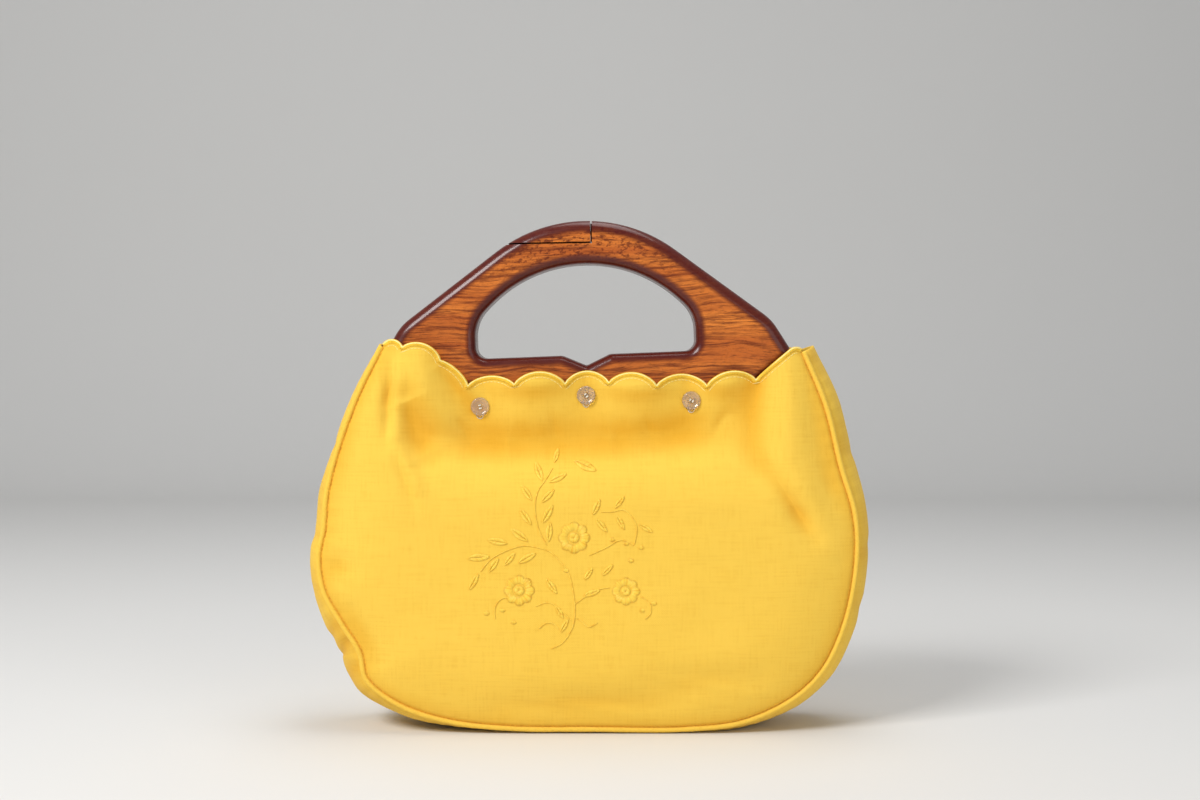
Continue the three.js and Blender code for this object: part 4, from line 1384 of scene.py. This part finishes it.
@dataclass
class Embroidery:
    """The tone-on-tone floral spray on the front panel, placed by pixels of the photograph."""

    shape: CoverShape
    view: PhotoView
    pitch: float = 0.4
    # Leaves: right, down, length in pixels, and turn in degrees.
    leaves: tuple[tuple[float, float, float, float], ...] = (
        (556, 457, 14, 75),
        (584, 466, 23, -25),
        (539, 473, 19, 110),
        (557, 479, 18, 25),
        (527, 494, 17, 125),
        (547, 497, 17, 45),
        (526, 518, 18, 125),
        (547, 515, 19, 60),
        (549, 533, 18, 85),
        (520, 536, 20, 145),
        (498, 542, 19, 170),
        (477, 558, 21, 5),
        (526, 559, 19, 30),
        (509, 560, 15, 50),
        (493, 566, 16, 55),
        (473, 583, 17, 60),
        (596, 508, 16, 65),
        (601, 525, 16, -50),
        (619, 503, 14, 50),
        (620, 522, 15, -60),
        (645, 528, 15, -30),
        (607, 571, 14, 45),
        (588, 575, 13, 55),
        (591, 594, 16, 20),
        (551, 586, 17, -55),
        (559, 612, 14, -60),
        (564, 627, 14, 60),
    )
    # Flowers: right, down and radius in pixels.
    flowers: tuple[tuple[float, float, float], ...] = (
        (574, 538, 16.5),
        (519, 591, 16.0),
        (626, 592, 14.5),
    )
    # Stems, tendrils and dots: right and down in pixels of each point.
    stems: tuple[tuple[Span, ...], ...] = (
        (
            *((550, 650), (562, 644), (572, 629), (575, 614), (573, 592), (569, 575), (561, 563)),
            *((550, 552), (538, 548), (523, 546), (504, 552), (490, 560), (480, 572)),
        ),
        ((547, 546), (538, 528), (535, 506), (538, 491), (546, 480), (553, 468)),
        ((588, 556), (606, 548), (622, 540), (634, 546)),
        ((600, 512), (612, 512), (624, 510), (634, 520), (637, 528), (634, 546)),
        ((573, 606), (584, 598), (598, 590), (610, 588)),
    )
    tendrils: tuple[tuple[Span, ...], ...] = (
        ((520, 603), (504, 598), (497, 603), (494, 611), (495, 620)),
        ((572, 622), (560, 610), (548, 603), (535, 607)),
        ((574, 618), (582, 622), (588, 628), (598, 623)),
        ((640, 596), (650, 604), (651, 614), (645, 620)),
        ((538, 630), (545, 624), (553, 624), (559, 630)),
    )
    dots: tuple[Span, ...] = (
        *((626, 544), (641, 548), (631, 561), (486, 614), (502, 611)),
        *((513, 623), (642, 611), (654, 604), (566, 571), (612, 540)),
    )
    # Shares of a flower's radius: where the petals start, their shortest end, and how much
    # further their tips reach.
    petals: Triple = (0.42, 0.78, 0.22)
    # Shares of a flower's radius: where the stitches of its heart start and end.
    heart: Span = (0.04, 0.33)
    # How far the cloth below the flowers stands out, in millimetres.
    stand_out: float = 45.0

    def lay(self, work: StitchWork, chains: Array, lift: float) -> None:
        """Puts stitches on the cloth.

        Args:
            work: the stitches that they join.
            chains: their points in the plane of the panels, by stitch and point.
            lift: how far off the cloth their ends lie.
        """
        points = self.shape.on_panel(chains.reshape(-1, 2), Face.FRONT, lift)
        middle = chains.mean(axis=1)
        lifts = self.shape.normal(middle[:, 0], middle[:, 1], Face.FRONT)
        work.add_rows(list(points.reshape(*chains.shape[:2], 3).swapaxes(0, 1)), lifts)

    def sew(self, work: StitchWork, starts: Array, ends: Array, lift: float = 0.08) -> None:
        """Puts straight stitches on the cloth, with their ends in pixels of the photograph."""
        pixels = np.stack([starts, ends], axis=1)
        flat = self.view.on_front(pixels.reshape(-1, 2), self.shape)
        self.lay(work, flat.reshape(pixels.shape), lift)

    def leaf(self, work: StitchWork, x: float, y: float, length: float, turn: float) -> None:
        """One satin leaf of slanted stitches, two fans from its middle rib."""
        angle = math.radians(turn)
        middle = np.array([x, y])
        along = np.array([math.cos(angle), -math.sin(angle)])
        across = np.array([-along[1], along[0]])
        tips = np.array([middle - along * length / 2, middle + along * length / 2])
        ends = self.view.on_front(tips, self.shape)
        count = max(8, int(float(np.linalg.norm(ends[1] - ends[0])) / self.pitch))
        share = np.linspace(0.04, 0.96, count)[:, None]
        width = length * 0.2 * np.sin(math.pi * share**0.85) ** 0.75
        rib = middle + along * (share - 0.5) * length
        slant = along * 0.13 * length
        for side in (1.0, -1.0):
            self.sew(work, rib - slant * 0.2, rib + side * across * width + slant)

    def flower(self, work: StitchWork, x: float, y: float, radius: float) -> None:
        """One flower: eight satin petals round a satin heart."""
        centre = np.array([x, y])
        scale = self.view.reach / (self.view.away - self.stand_out)
        angles = round_angles(int(TURN * radius / scale / (self.pitch * 1.15)))
        rays = spokes(angles) * radius
        start, shortest, more = self.petals
        lobe = np.abs(np.cos(4 * angles))[:, None] ** 0.55
        self.sew(work, centre + rays * start, centre + rays * (shortest + more * lobe), 0.1)
        inner, outer = self.heart
        self.sew(work, centre + rays[::3] * inner, centre + rays[::3] * outer, 0.12)

    def line(self, work: StitchWork, pixels: tuple[Span, ...], step: float) -> None:
        """A curved line of overlapping stem stitches."""
        path = Spline(self.view.on_front(np.array(pixels, float), self.shape))
        starts = np.arange(0.0, path.length - step, step)
        ends = np.minimum(starts + 1.9 * step, path.length)
        along = path.along(starts)
        across = np.column_stack([along[:, 1], -along[:, 0]]) * 0.14
        self.lay(work, np.stack([path.at(starts) - across, path.at(ends) + across], axis=1), 0.05)

    def dot(self, work: StitchWork, x: float, y: float, radius: float = 2.5) -> None:
        """A small round of satin stitches."""
        offset = np.linspace(-2.2, 2.2, 7)
        half = np.sqrt(np.maximum(radius**2 - offset**2, 0.2))
        low, high = (np.column_stack([x + offset, y + side * half]) for side in (-1, 1))
        self.sew(work, low, high)

    def build(self) -> list[Piece]:
        """Makes the spray: its satin stitches and its stems."""
        satin = StitchWork("embroidery_satin", radius=0.26, arch=0.32)
        shapes = ((self.leaf, self.leaves), (self.flower, self.flowers), (self.dot, self.dots))
        for sew_one, rows in shapes:
            for row in rows:
                sew_one(satin, *row)
        stems = StitchWork("embroidery_stems", radius=0.24, arch=0.3)
        for lines, step in ((self.stems, 1.5), (self.tendrils, 1.3)):
            for pixels in lines:
                self.line(stems, pixels, step)
        return [satin.build(), stems.build()]


# The button's turned form: share of its radius, and share of its thickness.
BUTTON_ROWS = (
    *((0.62, 0.0), (0.86, 0.1), (0.97, 0.32), (1.0, 0.52), (0.985, 0.74), (0.93, 0.92)),
    *((0.86, 1.0), (0.78, 0.97), (0.7, 0.82), (0.6, 0.7), (0.3, 0.66)),
)

# The loose loop of thread below a button: angle in degrees, and share of the button's radius.
LOOP_ROWS = ((235.0, 0.55), (250.0, 1.02), (262.0, 1.22), (274.0, 1.24), (288.0, 1.05), (302.0, 0.6))


@dataclass
class ShirtButton:
    """One clear sew-through button with its thread."""

    shape: CoverShape
    face: Face
    side: str
    turn: float
    hole_out: float = 1.25
    hole_radius: float = 0.62
    strand_gap: float = 0.22
    shank_radius: float = 0.55
    shank_turn: float = 1.6

    def __post_init__(self) -> None:
        """Reads the button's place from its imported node, and works out its holes."""
        low, high = (np.array(corner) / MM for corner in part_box(f"button_{self.ending}"))
        self.middle = (low + high) / 2
        self.radius = float(high[0] - low[0]) / 2
        self.thick = float(high[1] - low[1])
        self.back = float(high[1] if self.face is Face.FRONT else low[1])
        self.holes = self.hole_out * spokes(np.radians(self.turn + np.arange(45.0, 360.0, 90.0)))

    @property
    def ending(self) -> str:
        """What the names of its nodes end with."""
        return f"{self.face.word}_{self.side}"

    def at(self, spots: Array, out: Array | float) -> Array:
        """Points by their (across, up) rows on the face, and how far they stand off the back."""
        y = np.broadcast_to(self.back + self.face.value * np.asarray(out), len(spots))
        return np.column_stack([self.middle[0] + spots[:, 0], y, self.middle[2] + spots[:, 1]])

    def disc(self) -> Piece:
        """The dished disc with its rim and four holes."""
        sides = 40
        rows = [(share * self.radius, height * self.thick) for share, height in BUTTON_ROWS]
        rings = [self.at(radius * spokes(round_angles(sides)), out) for radius, out in rows]
        middles = self.at(np.zeros((2, 2)), np.array([rows[0][1], rows[-1][1]]))
        points = np.vstack([*rings, middles])
        piece = mesh_piece(f"shirt_button_{self.ending}", points, tube_faces(len(rows), sides))
        close_up(piece)
        combine(piece, self.drill(), "DIFFERENCE")
        piece.data.set_sharp_from_angle(angle=math.radians(45))
        return piece

    def drill(self) -> Piece:
        """Four cylinders that cut the holes."""
        sides, past = 14, 1.0
        points, faces = [], []
        for place, hole in enumerate(self.holes):
            ring = hole + self.hole_radius * spokes(round_angles(sides))
            points += [self.at(ring, -past), self.at(ring, self.thick + past)]
            low = np.arange(sides) + 2 * sides * place
            high = low + sides
            faces += [low[::-1].tolist(), high.tolist()]
            faces += quads(low, np.roll(low, -1), np.roll(high, -1), high).tolist()
        piece = mesh_piece("drill", np.vstack(points), faces)
        piece.data.shade_flat()
        close_up(piece)
        return piece

    def thread(self) -> Piece:
        """The strands across the holes, the shank behind, and a loose loop below."""
        name = f"button_strands_{self.ending}"
        work = StitchWork(name, radius=0.2, arch=0.0, steps=12, sides=7, taper=0.1)
        out = np.array([0.0, self.face.value, 0.0])
        floor = 0.7 * self.thick
        shares = np.array([0.0, 0.12, 0.5, 0.88, 1.0])[:, None]
        strand = floor + np.array([-0.8, 0.22, 0.42, 0.22, -0.8])
        for a, b in (self.holes[:2], self.holes[2:]):
            way = (b - a) / np.linalg.norm(b - a)
            for shift in (-self.strand_gap, 0.0, self.strand_gap):
                off = shift * np.array([-way[1], way[0]])
                work.add(self.at(a + shares * (b - a) + off, strand), out)
        reach = abs(self.back) - (self.shape.wood_half_depth + 0.3)
        for turn in round_angles(6):
            spots = self.shank_radius * spokes(turn + np.linspace(0.0, self.shank_turn, 5))
            work.add(self.at(spots, np.linspace(floor - 0.6, -reach, 5)), out)
        if self.face is Face.FRONT:
            angle, share = np.array(LOOP_ROWS).T
            flat = self.radius * share[:, None] * spokes(np.radians(angle)) + self.middle[[0, 2]]
            work.add(self.shape.on_panel(flat, self.face, 0.3), out)
            work.add(self.shape.on_panel(flat * 0.3 + flat[2] * 0.7, self.face, 0.5), out)
        return work.build()


@dataclass
class Handle:
    """The two flat mahogany plates, half-lapped at the top."""

    base: float = 180.0
    tilt: float = 0.9
    shift: float = -1.0
    half_depth: float = 15.5
    gap: float = 1.0
    top: float = 115.5
    tip: Triple = (121.5, 34.5, 8.0)
    foot: Span = (76.0, 20.0)
    shoulder: Span = (108.0, 30.0)
    crown_radius: float = 87.0
    flank_slope: float = 36.8
    roundover: float = 7.0
    grip_half_width: float = 64.0
    grip_shift: float = -1.0
    grip_floor: float = 37.5
    grip_height: float = 52.8
    grip_crown_radius: float = 79.0
    grip_flank_slope: float = 44.0
    grip_shoulder_radius: float = 22.0
    grip_corner_radius: float = 6.5
    grip_turn: float = 1.3
    grip_roundover: float = 5.5
    dip: Triple = (14.0, 6.3, 2.5)
    split_out: float = 3.5
    lap_height: float = 12.9
    lap_gap: float = 0.9
    tongue: Span = (-0.3, 4.0)
    tongue_half_depth: float = 5.0
    tongue_down: float = 1.4
    pin_radius: float = 1.8
    pin_length: float = 38.6
    round_steps: int = 9
    lip: float = 0.9
    # How far the painted shade of the rounded edges fades in from them, in millimetres.
    wear: float = 2.4
    far: float = 400.0

    @staticmethod
    def rounded(corners: list[Triple]) -> Array:
        """Corner points with a radius each, as an outline with round corners.

        Args:
            corners: x, y and radius of each, clockwise.

        Returns:
            One row for each point: x, y and the way out there.
        """
        rows = []
        for index, (x, y, radius) in enumerate(corners):
            here = np.array([x, y])
            before = np.array(corners[index - 1][:2]) - here
            after = np.array(corners[(index + 1) % len(corners)][:2]) - here
            before /= np.linalg.norm(before)
            after /= np.linalg.norm(after)
            half = math.acos(float(np.clip(before @ after, -1.0, 1.0))) / 2
            middle = (before + after) / np.linalg.norm(before + after)
            centre = here + middle * radius / math.sin(half)
            start = here + before * radius / math.tan(half) - centre
            end = here + after * radius / math.tan(half) - centre
            turn = math.atan2(start[0] * end[1] - start[1] * end[0], float(start @ end))
            steps = max(5, round(abs(turn) / math.radians(3.0)))
            for angle in np.linspace(0.0, turn, steps + 1):
                c, s = math.cos(angle), math.sin(angle)
                spoke = np.array([start[0] * c - start[1] * s, start[0] * s + start[1] * c])
                sign = -1.0 if turn > 0 else 1.0
                rows.append([*(centre + spoke), *(sign * spoke / radius)])
        return np.array(rows)

    @staticmethod
    def whole(corners: list[Triple]) -> list[Triple]:
        """A symmetric outline from its right half, given from its top corner down."""
        return corners + [(-x, y, radius) for x, y, radius in reversed(corners) if x > 0]

    @staticmethod
    def crown(top: float, radius: float, slope: float, out: float, shoulder: float) -> list[Triple]:
        """A round crown's corner and its shoulder's, which lies out along a flank of this slope."""
        flank = math.radians(slope)
        peak = top + radius * (1 / math.cos(flank) - 1)
        return [(0.0, peak, radius), (out, peak - math.tan(flank) * out, shoulder)]

    def outer(self) -> Array:
        """The plates' outline: x, y and the way out, one row each."""
        corners = self.crown(self.top, self.crown_radius, self.flank_slope, *self.shoulder)
        return self.rounded(self.whole([*corners, self.tip, (self.foot[0], 0.0, self.foot[1])]))

    def grip(self) -> Array:
        """The grip hole's outline: x, y and the way out of the hole, one row each."""
        half, floor, corner = self.grip_half_width, self.grip_floor, self.grip_corner_radius
        wide, deep, tight = self.dip
        crown = self.crown(
            floor + self.grip_height,
            self.grip_crown_radius,
            self.grip_flank_slope,
            half,
            self.grip_shoulder_radius,
        )
        low = [(half, floor, corner), (wide, floor, corner), (0.0, floor - deep, tight)]
        line = self.rounded(self.whole(crown + low))
        turn = math.radians(self.grip_turn)
        spin = np.array([[math.cos(turn), math.sin(turn)], [-math.sin(turn), math.cos(turn)]])
        middle = np.array([0.0, floor + self.grip_height / 2])
        line[:, :2] = (line[:, :2] - middle) @ spin + middle
        line[:, 2:] = line[:, 2:] @ spin
        line[:, 0] += self.grip_shift
        return line

    def rings(self, line: Array, roundover: float, inside: float) -> list[Array]:
        """Rings of points from the front face over the rounded edges to the back face.

        Args:
            line: an outline with its way out.
            roundover: radius of the edge.
            inside: 1 for the outer outline, -1 for the hole.

        Returns:
            The rings, each one row a point: x, y and z, y through the wood.
        """
        steps = [(roundover + self.lip, -self.half_depth)]
        for angle in np.linspace(0.0, math.pi / 2, self.round_steps):
            depth = self.half_depth - roundover * (1 - math.cos(angle))
            steps.append((roundover * (1 - math.sin(angle)), -depth))
        steps += [(inset, -depth) for inset, depth in reversed(steps)]
        found = []
        for inset, depth in steps:
            flat = line[:, :2] - inside * line[:, 2:] * inset
            found.append(np.column_stack([flat[:, 0], np.full(len(flat), depth), flat[:, 1]]))
        return found

    def block(self) -> Piece:
        """Both plates and the grip hole in one closed piece, before they are parted."""
        mesh = bpy.data.meshes.new("block")
        outlines = (
            (self.outer(), self.roundover, 1.0),
            (self.grip(), self.grip_roundover, -1.0),
        )
        borders: list[list[bmesh.types.BMEdge]] = [[], []]
        with edited(mesh) as work:
            for outline in outlines:
                rows = self.rings(*outline)
                rings = [[work.verts.new(tuple(point)) for point in row] for row in rows]
                for a, b in zip(rings[:-1], rings[1:], strict=True):
                    for corners in zip(a, a[1:] + a[:1], b[1:] + b[:1], b, strict=True):
                        work.faces.new(corners)
                for border, ring in zip(borders, (rings[0], rings[-1]), strict=True):
                    border += map(work.edges.get, zip(ring, ring[1:] + ring[:1], strict=True))
            for border in borders:
                bmesh.ops.triangle_fill(work, use_beauty=True, use_dissolve=False, edges=border)
            bmesh.ops.recalc_face_normals(work, faces=work.faces)
            if work.calc_volume(signed=True) < 0:
                bmesh.ops.reverse_faces(work, faces=work.faces)
        return link("block", mesh)

    @staticmethod
    def box(low: Triple, high: Triple) -> Piece:
        """A cutter between two corners."""
        corners = list(itertools.product(*zip(low, high, strict=True)))
        faces = ((0, 1, 3, 2), (4, 6, 7, 5), (0, 4, 5, 1), (2, 3, 7, 6), (0, 2, 6, 4), (1, 5, 7, 3))
        mesh = bpy.data.meshes.new("cutter")
        mesh.from_pydata(corners, [], faces)
        piece = link("cutter", mesh)
        close_up(piece)
        return piece

    def bore(self) -> Piece:
        """The cutter of the pin's hole."""
        mesh = bpy.data.meshes.new("bore")
        size = {"radius1": self.pin_radius, "radius2": self.pin_radius, "depth": self.pin_length}
        with edited(mesh) as work:
            bmesh.ops.create_cone(work, cap_ends=True, segments=24, **size)
            for vertex in work.verts:
                x, y, z = vertex.co
                vertex.co = (self.split_out + z, y, self.top - self.lap_height / 2 + x)
        piece = link("bore", mesh)
        close_up(piece)
        return piece

    def lap(self, side: int, spare: float) -> Piece:
        """The region of one knuckle: right of the upright split for side 1, left for -1."""
        level = self.top - self.lap_height + self.lap_gap / 2 - spare
        near = self.split_out + side * (self.lap_gap / 2 - spare)
        low, high = (near, self.far) if side > 0 else (-self.far, near)
        return self.box((low, -self.far, level), (high, self.far, self.far))

    def stop(self) -> Piece:
        """The tongue inside the hinge, which closes most of the upright split."""
        half, down = self.tongue_half_depth, self.tongue_down
        left, right = self.tongue
        low = (self.split_out + left, -half, self.top - self.lap_height + self.lap_gap)
        return self.box(low, (self.split_out + right, half, self.top - down))

    def plate(self, face: Face) -> Piece:
        """One plate with its own knuckle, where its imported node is."""
        front = face is Face.FRONT
        side = 1 if front else -1
        inner = self.gap / 2
        low, high = (-self.far, -inner) if front else (inner, self.far)
        piece = self.block()
        half = self.box((-self.far, low, -self.far), (self.far, high, self.far))
        combine(piece, half, "INTERSECT")
        combine(piece, self.lap(-side, self.lap_gap), "DIFFERENCE")
        knuckle = self.block()
        combine(knuckle, self.lap(side, 0.0), "INTERSECT")
        combine(piece, knuckle, "UNION")
        if front:
            combine(piece, self.stop(), "UNION")
        combine(piece, self.bore(), "DIFFERENCE")
        close_up(piece, 0.01, 0.005)
        points = np.empty(len(piece.data.vertices) * 3)
        piece.data.vertices.foreach_get("co", points)
        points = points.reshape(-1, 3)
        store(piece, "edge_tone", self.edge_tone(points))
        tilt = math.radians(self.tilt)
        x = points[:, 0] * math.cos(tilt) - points[:, 2] * math.sin(tilt) + self.shift
        z = points[:, 0] * math.sin(tilt) + points[:, 2] * math.cos(tilt) + self.base
        placed = np.column_stack([x, points[:, 1], z]) * MM
        piece.data.vertices.foreach_set("co", placed.ravel())
        piece.data.update()
        piece.data.shade_smooth()
        piece.data.set_sharp_from_angle(angle=math.radians(32))
        piece.name = piece.data.name = f"wood_plate_{face.word}"
        return piece

    def edge_tone(self, points: Array) -> Array:
        """How much painted shade darkens the rounded edges at each point, from 0 to 1."""
        tone = np.zeros(len(points))
        for line, reach in ((self.outer(), self.roundover), (self.grip(), self.grip_roundover)):
            start = line[:, :2]
            way = np.roll(start, -1, axis=0) - start
            square = np.maximum((way**2).sum(axis=1), 1e-9)
            part = points[:, None, [0, 2]] - start
            share = np.clip((part * way).sum(axis=2) / square, 0.0, 1.0)
            gap = np.linalg.norm(part - share[..., None] * way, axis=2).min(axis=1)
            tone = np.maximum(tone, np.clip((reach + self.lip - gap) / self.wear, 0.0, 1.0))
        return tone


@dataclass
class Studio:
    """The pale floor and wall, and the soft lights, in metres."""

    floor: Colour = (0.74, 0.73, 0.71)
    sky: Colour = (0.93, 0.96, 1.0)
    sky_strength: float = 0.32
    half_width: float = 4.0
    front: float = -4.0
    back: float = 1.6
    bend: float = 0.5
    height: float = 3.2
    aim: Triple = (0.0, 0.0, 0.14)
    # Lights: name, place, size and watts.
    lights: tuple[tuple[str, Triple, Span, float], ...] = (
        ("key", (-1.15, -1.25, 1.5), (0.9, 0.7), 35.0),
        ("fill", (1.3, -1.5, 0.6), (1.2, 1.2), 6.0),
        ("top", (0.2, 0.1, 1.7), (1.2, 0.8), 10.0),
    )

    def light(self, name: str, place: Triple, size: Span, power: float) -> None:
        """Adds a soft rectangular light that looks at the bag."""
        data = bpy.data.lights.new(name, "AREA")
        data.shape = "RECTANGLE"
        data.size, data.size_y = size
        data.energy = power
        lamp = link(name, data)
        way = np.array(place) - np.array(self.aim)
        way /= np.linalg.norm(way)
        lamp.location = place
        turn = math.atan2(float(way[1]), float(way[0])) + math.pi / 2
        lamp.rotation_euler = (math.acos(float(way[2])), 0.0, turn)

    def make(self) -> None:
        """Adds the floor, the wall behind, the lights and the pale surroundings."""
        arc = np.linspace(0.0, math.pi / 2, 13)
        line = [(self.front, 0.0)]
        line += [(self.back + self.bend * math.sin(a), self.bend * (1 - math.cos(a))) for a in arc]
        line += [(self.back + self.bend, self.height)]
        points = [(x, y, z) for y, z in line for x in (-self.half_width, self.half_width)]
        faces = [[2 * k, 2 * k + 1, 2 * k + 3, 2 * k + 2] for k in range(len(line) - 1)]
        stage = mesh_piece("pale_floor", np.array(points) / MM, faces)
        stage.data.materials.append(StageFinish("pale_stage", self.floor).build())
        for row in self.lights:
            self.light(*row)
        world = bpy.data.worlds.new("pale_room")
        world.use_nodes = True
        ground = world.node_tree.nodes["Background"].inputs
        ground["Color"].default_value = (*self.sky, 1.0)
        ground["Strength"].default_value = self.sky_strength
        bpy.context.scene.world = world
        bpy.context.scene.view_settings.view_transform = "Standard"


def dress_cover(shape: CoverShape, view: PhotoView, looks: Looks) -> None:
    """Makes the cover: panels, gusset, pipings, satin rim, stitches and embroidery.

    Args:
        shape: the cover's form.
        view: the photograph's view, which places the embroidery.
        looks: the materials by name.
    """
    cotton, purl = looks["yellow_cotton"], looks["purl_thread"]
    gusset = dress(Gusset(shape).build(), cotton, "cover_gusset")
    for face in Face:
        word = face.word
        panel = Panel(shape, face)
        cloth = dress(panel.build(), cotton, f"cover_{word}")
        dress(Piping(shape, face).build(), looks["bias_cotton"], f"piping_{word}")
        edging = Edging(shape, face)
        satin, rim = edging.satin(), f"scallop_edging_{word}"
        seam = SeamStitches(shape, face)
        going = [
            dress(satin, looks["edge_satin"], rim),
            dress(edging.purl(), purl),
            dress(edging.back_stitch(), purl),
            dress(seam.build(), looks["yellow_sewing_thread"]),
        ]
        if face is Face.FRONT:
            for piece in Embroidery(shape, view).build():
                going.append(dress(piece, looks["satin_stitch"]))
        panel.flat_area()


def dress_buttons(shape: CoverShape, looks: Looks) -> None:
    """Makes the six buttons with their threads, each turned in its own way."""
    for face in Face:
        for side, turn in (("left", 12.0), ("center", 38.0), ("right", 65.0)):
            button = ShirtButton(shape, face, side, turn)
            node = f"button_{button.ending}"
            dress(button.disc(), looks["button_plastic"], node)
            node = f"button_thread_{button.ending}"
            dress(button.thread(), looks["cream_thread"], node)


def dress_handle(looks: Looks) -> None:
    """Makes the two wooden plates and finishes the pin inside them."""
    handle = Handle()
    for face in Face:
        plate = handle.plate(face)
        dress(plate, looks[f"mahogany_{face.word}"], f"handle_{face.word}")
    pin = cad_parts["hinge_pin"]
    pin.data.materials.clear()
    pin.data.materials.append(looks["plain_steel"])


def main() -> None:
    """Builds the scene."""
    logging.basicConfig(level=logging.INFO, format="%(name)s %(message)s")
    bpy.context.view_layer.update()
    view = PhotoView()
    view.make()
    Studio().make()
    looks = {finish.name: finish.build() for finish in FINISHES}
    shape = CoverShape()
    dress_handle(looks)
    dress_buttons(shape, looks)
    dress_cover(shape, view, looks)


if __name__ == "__main__":
    main()
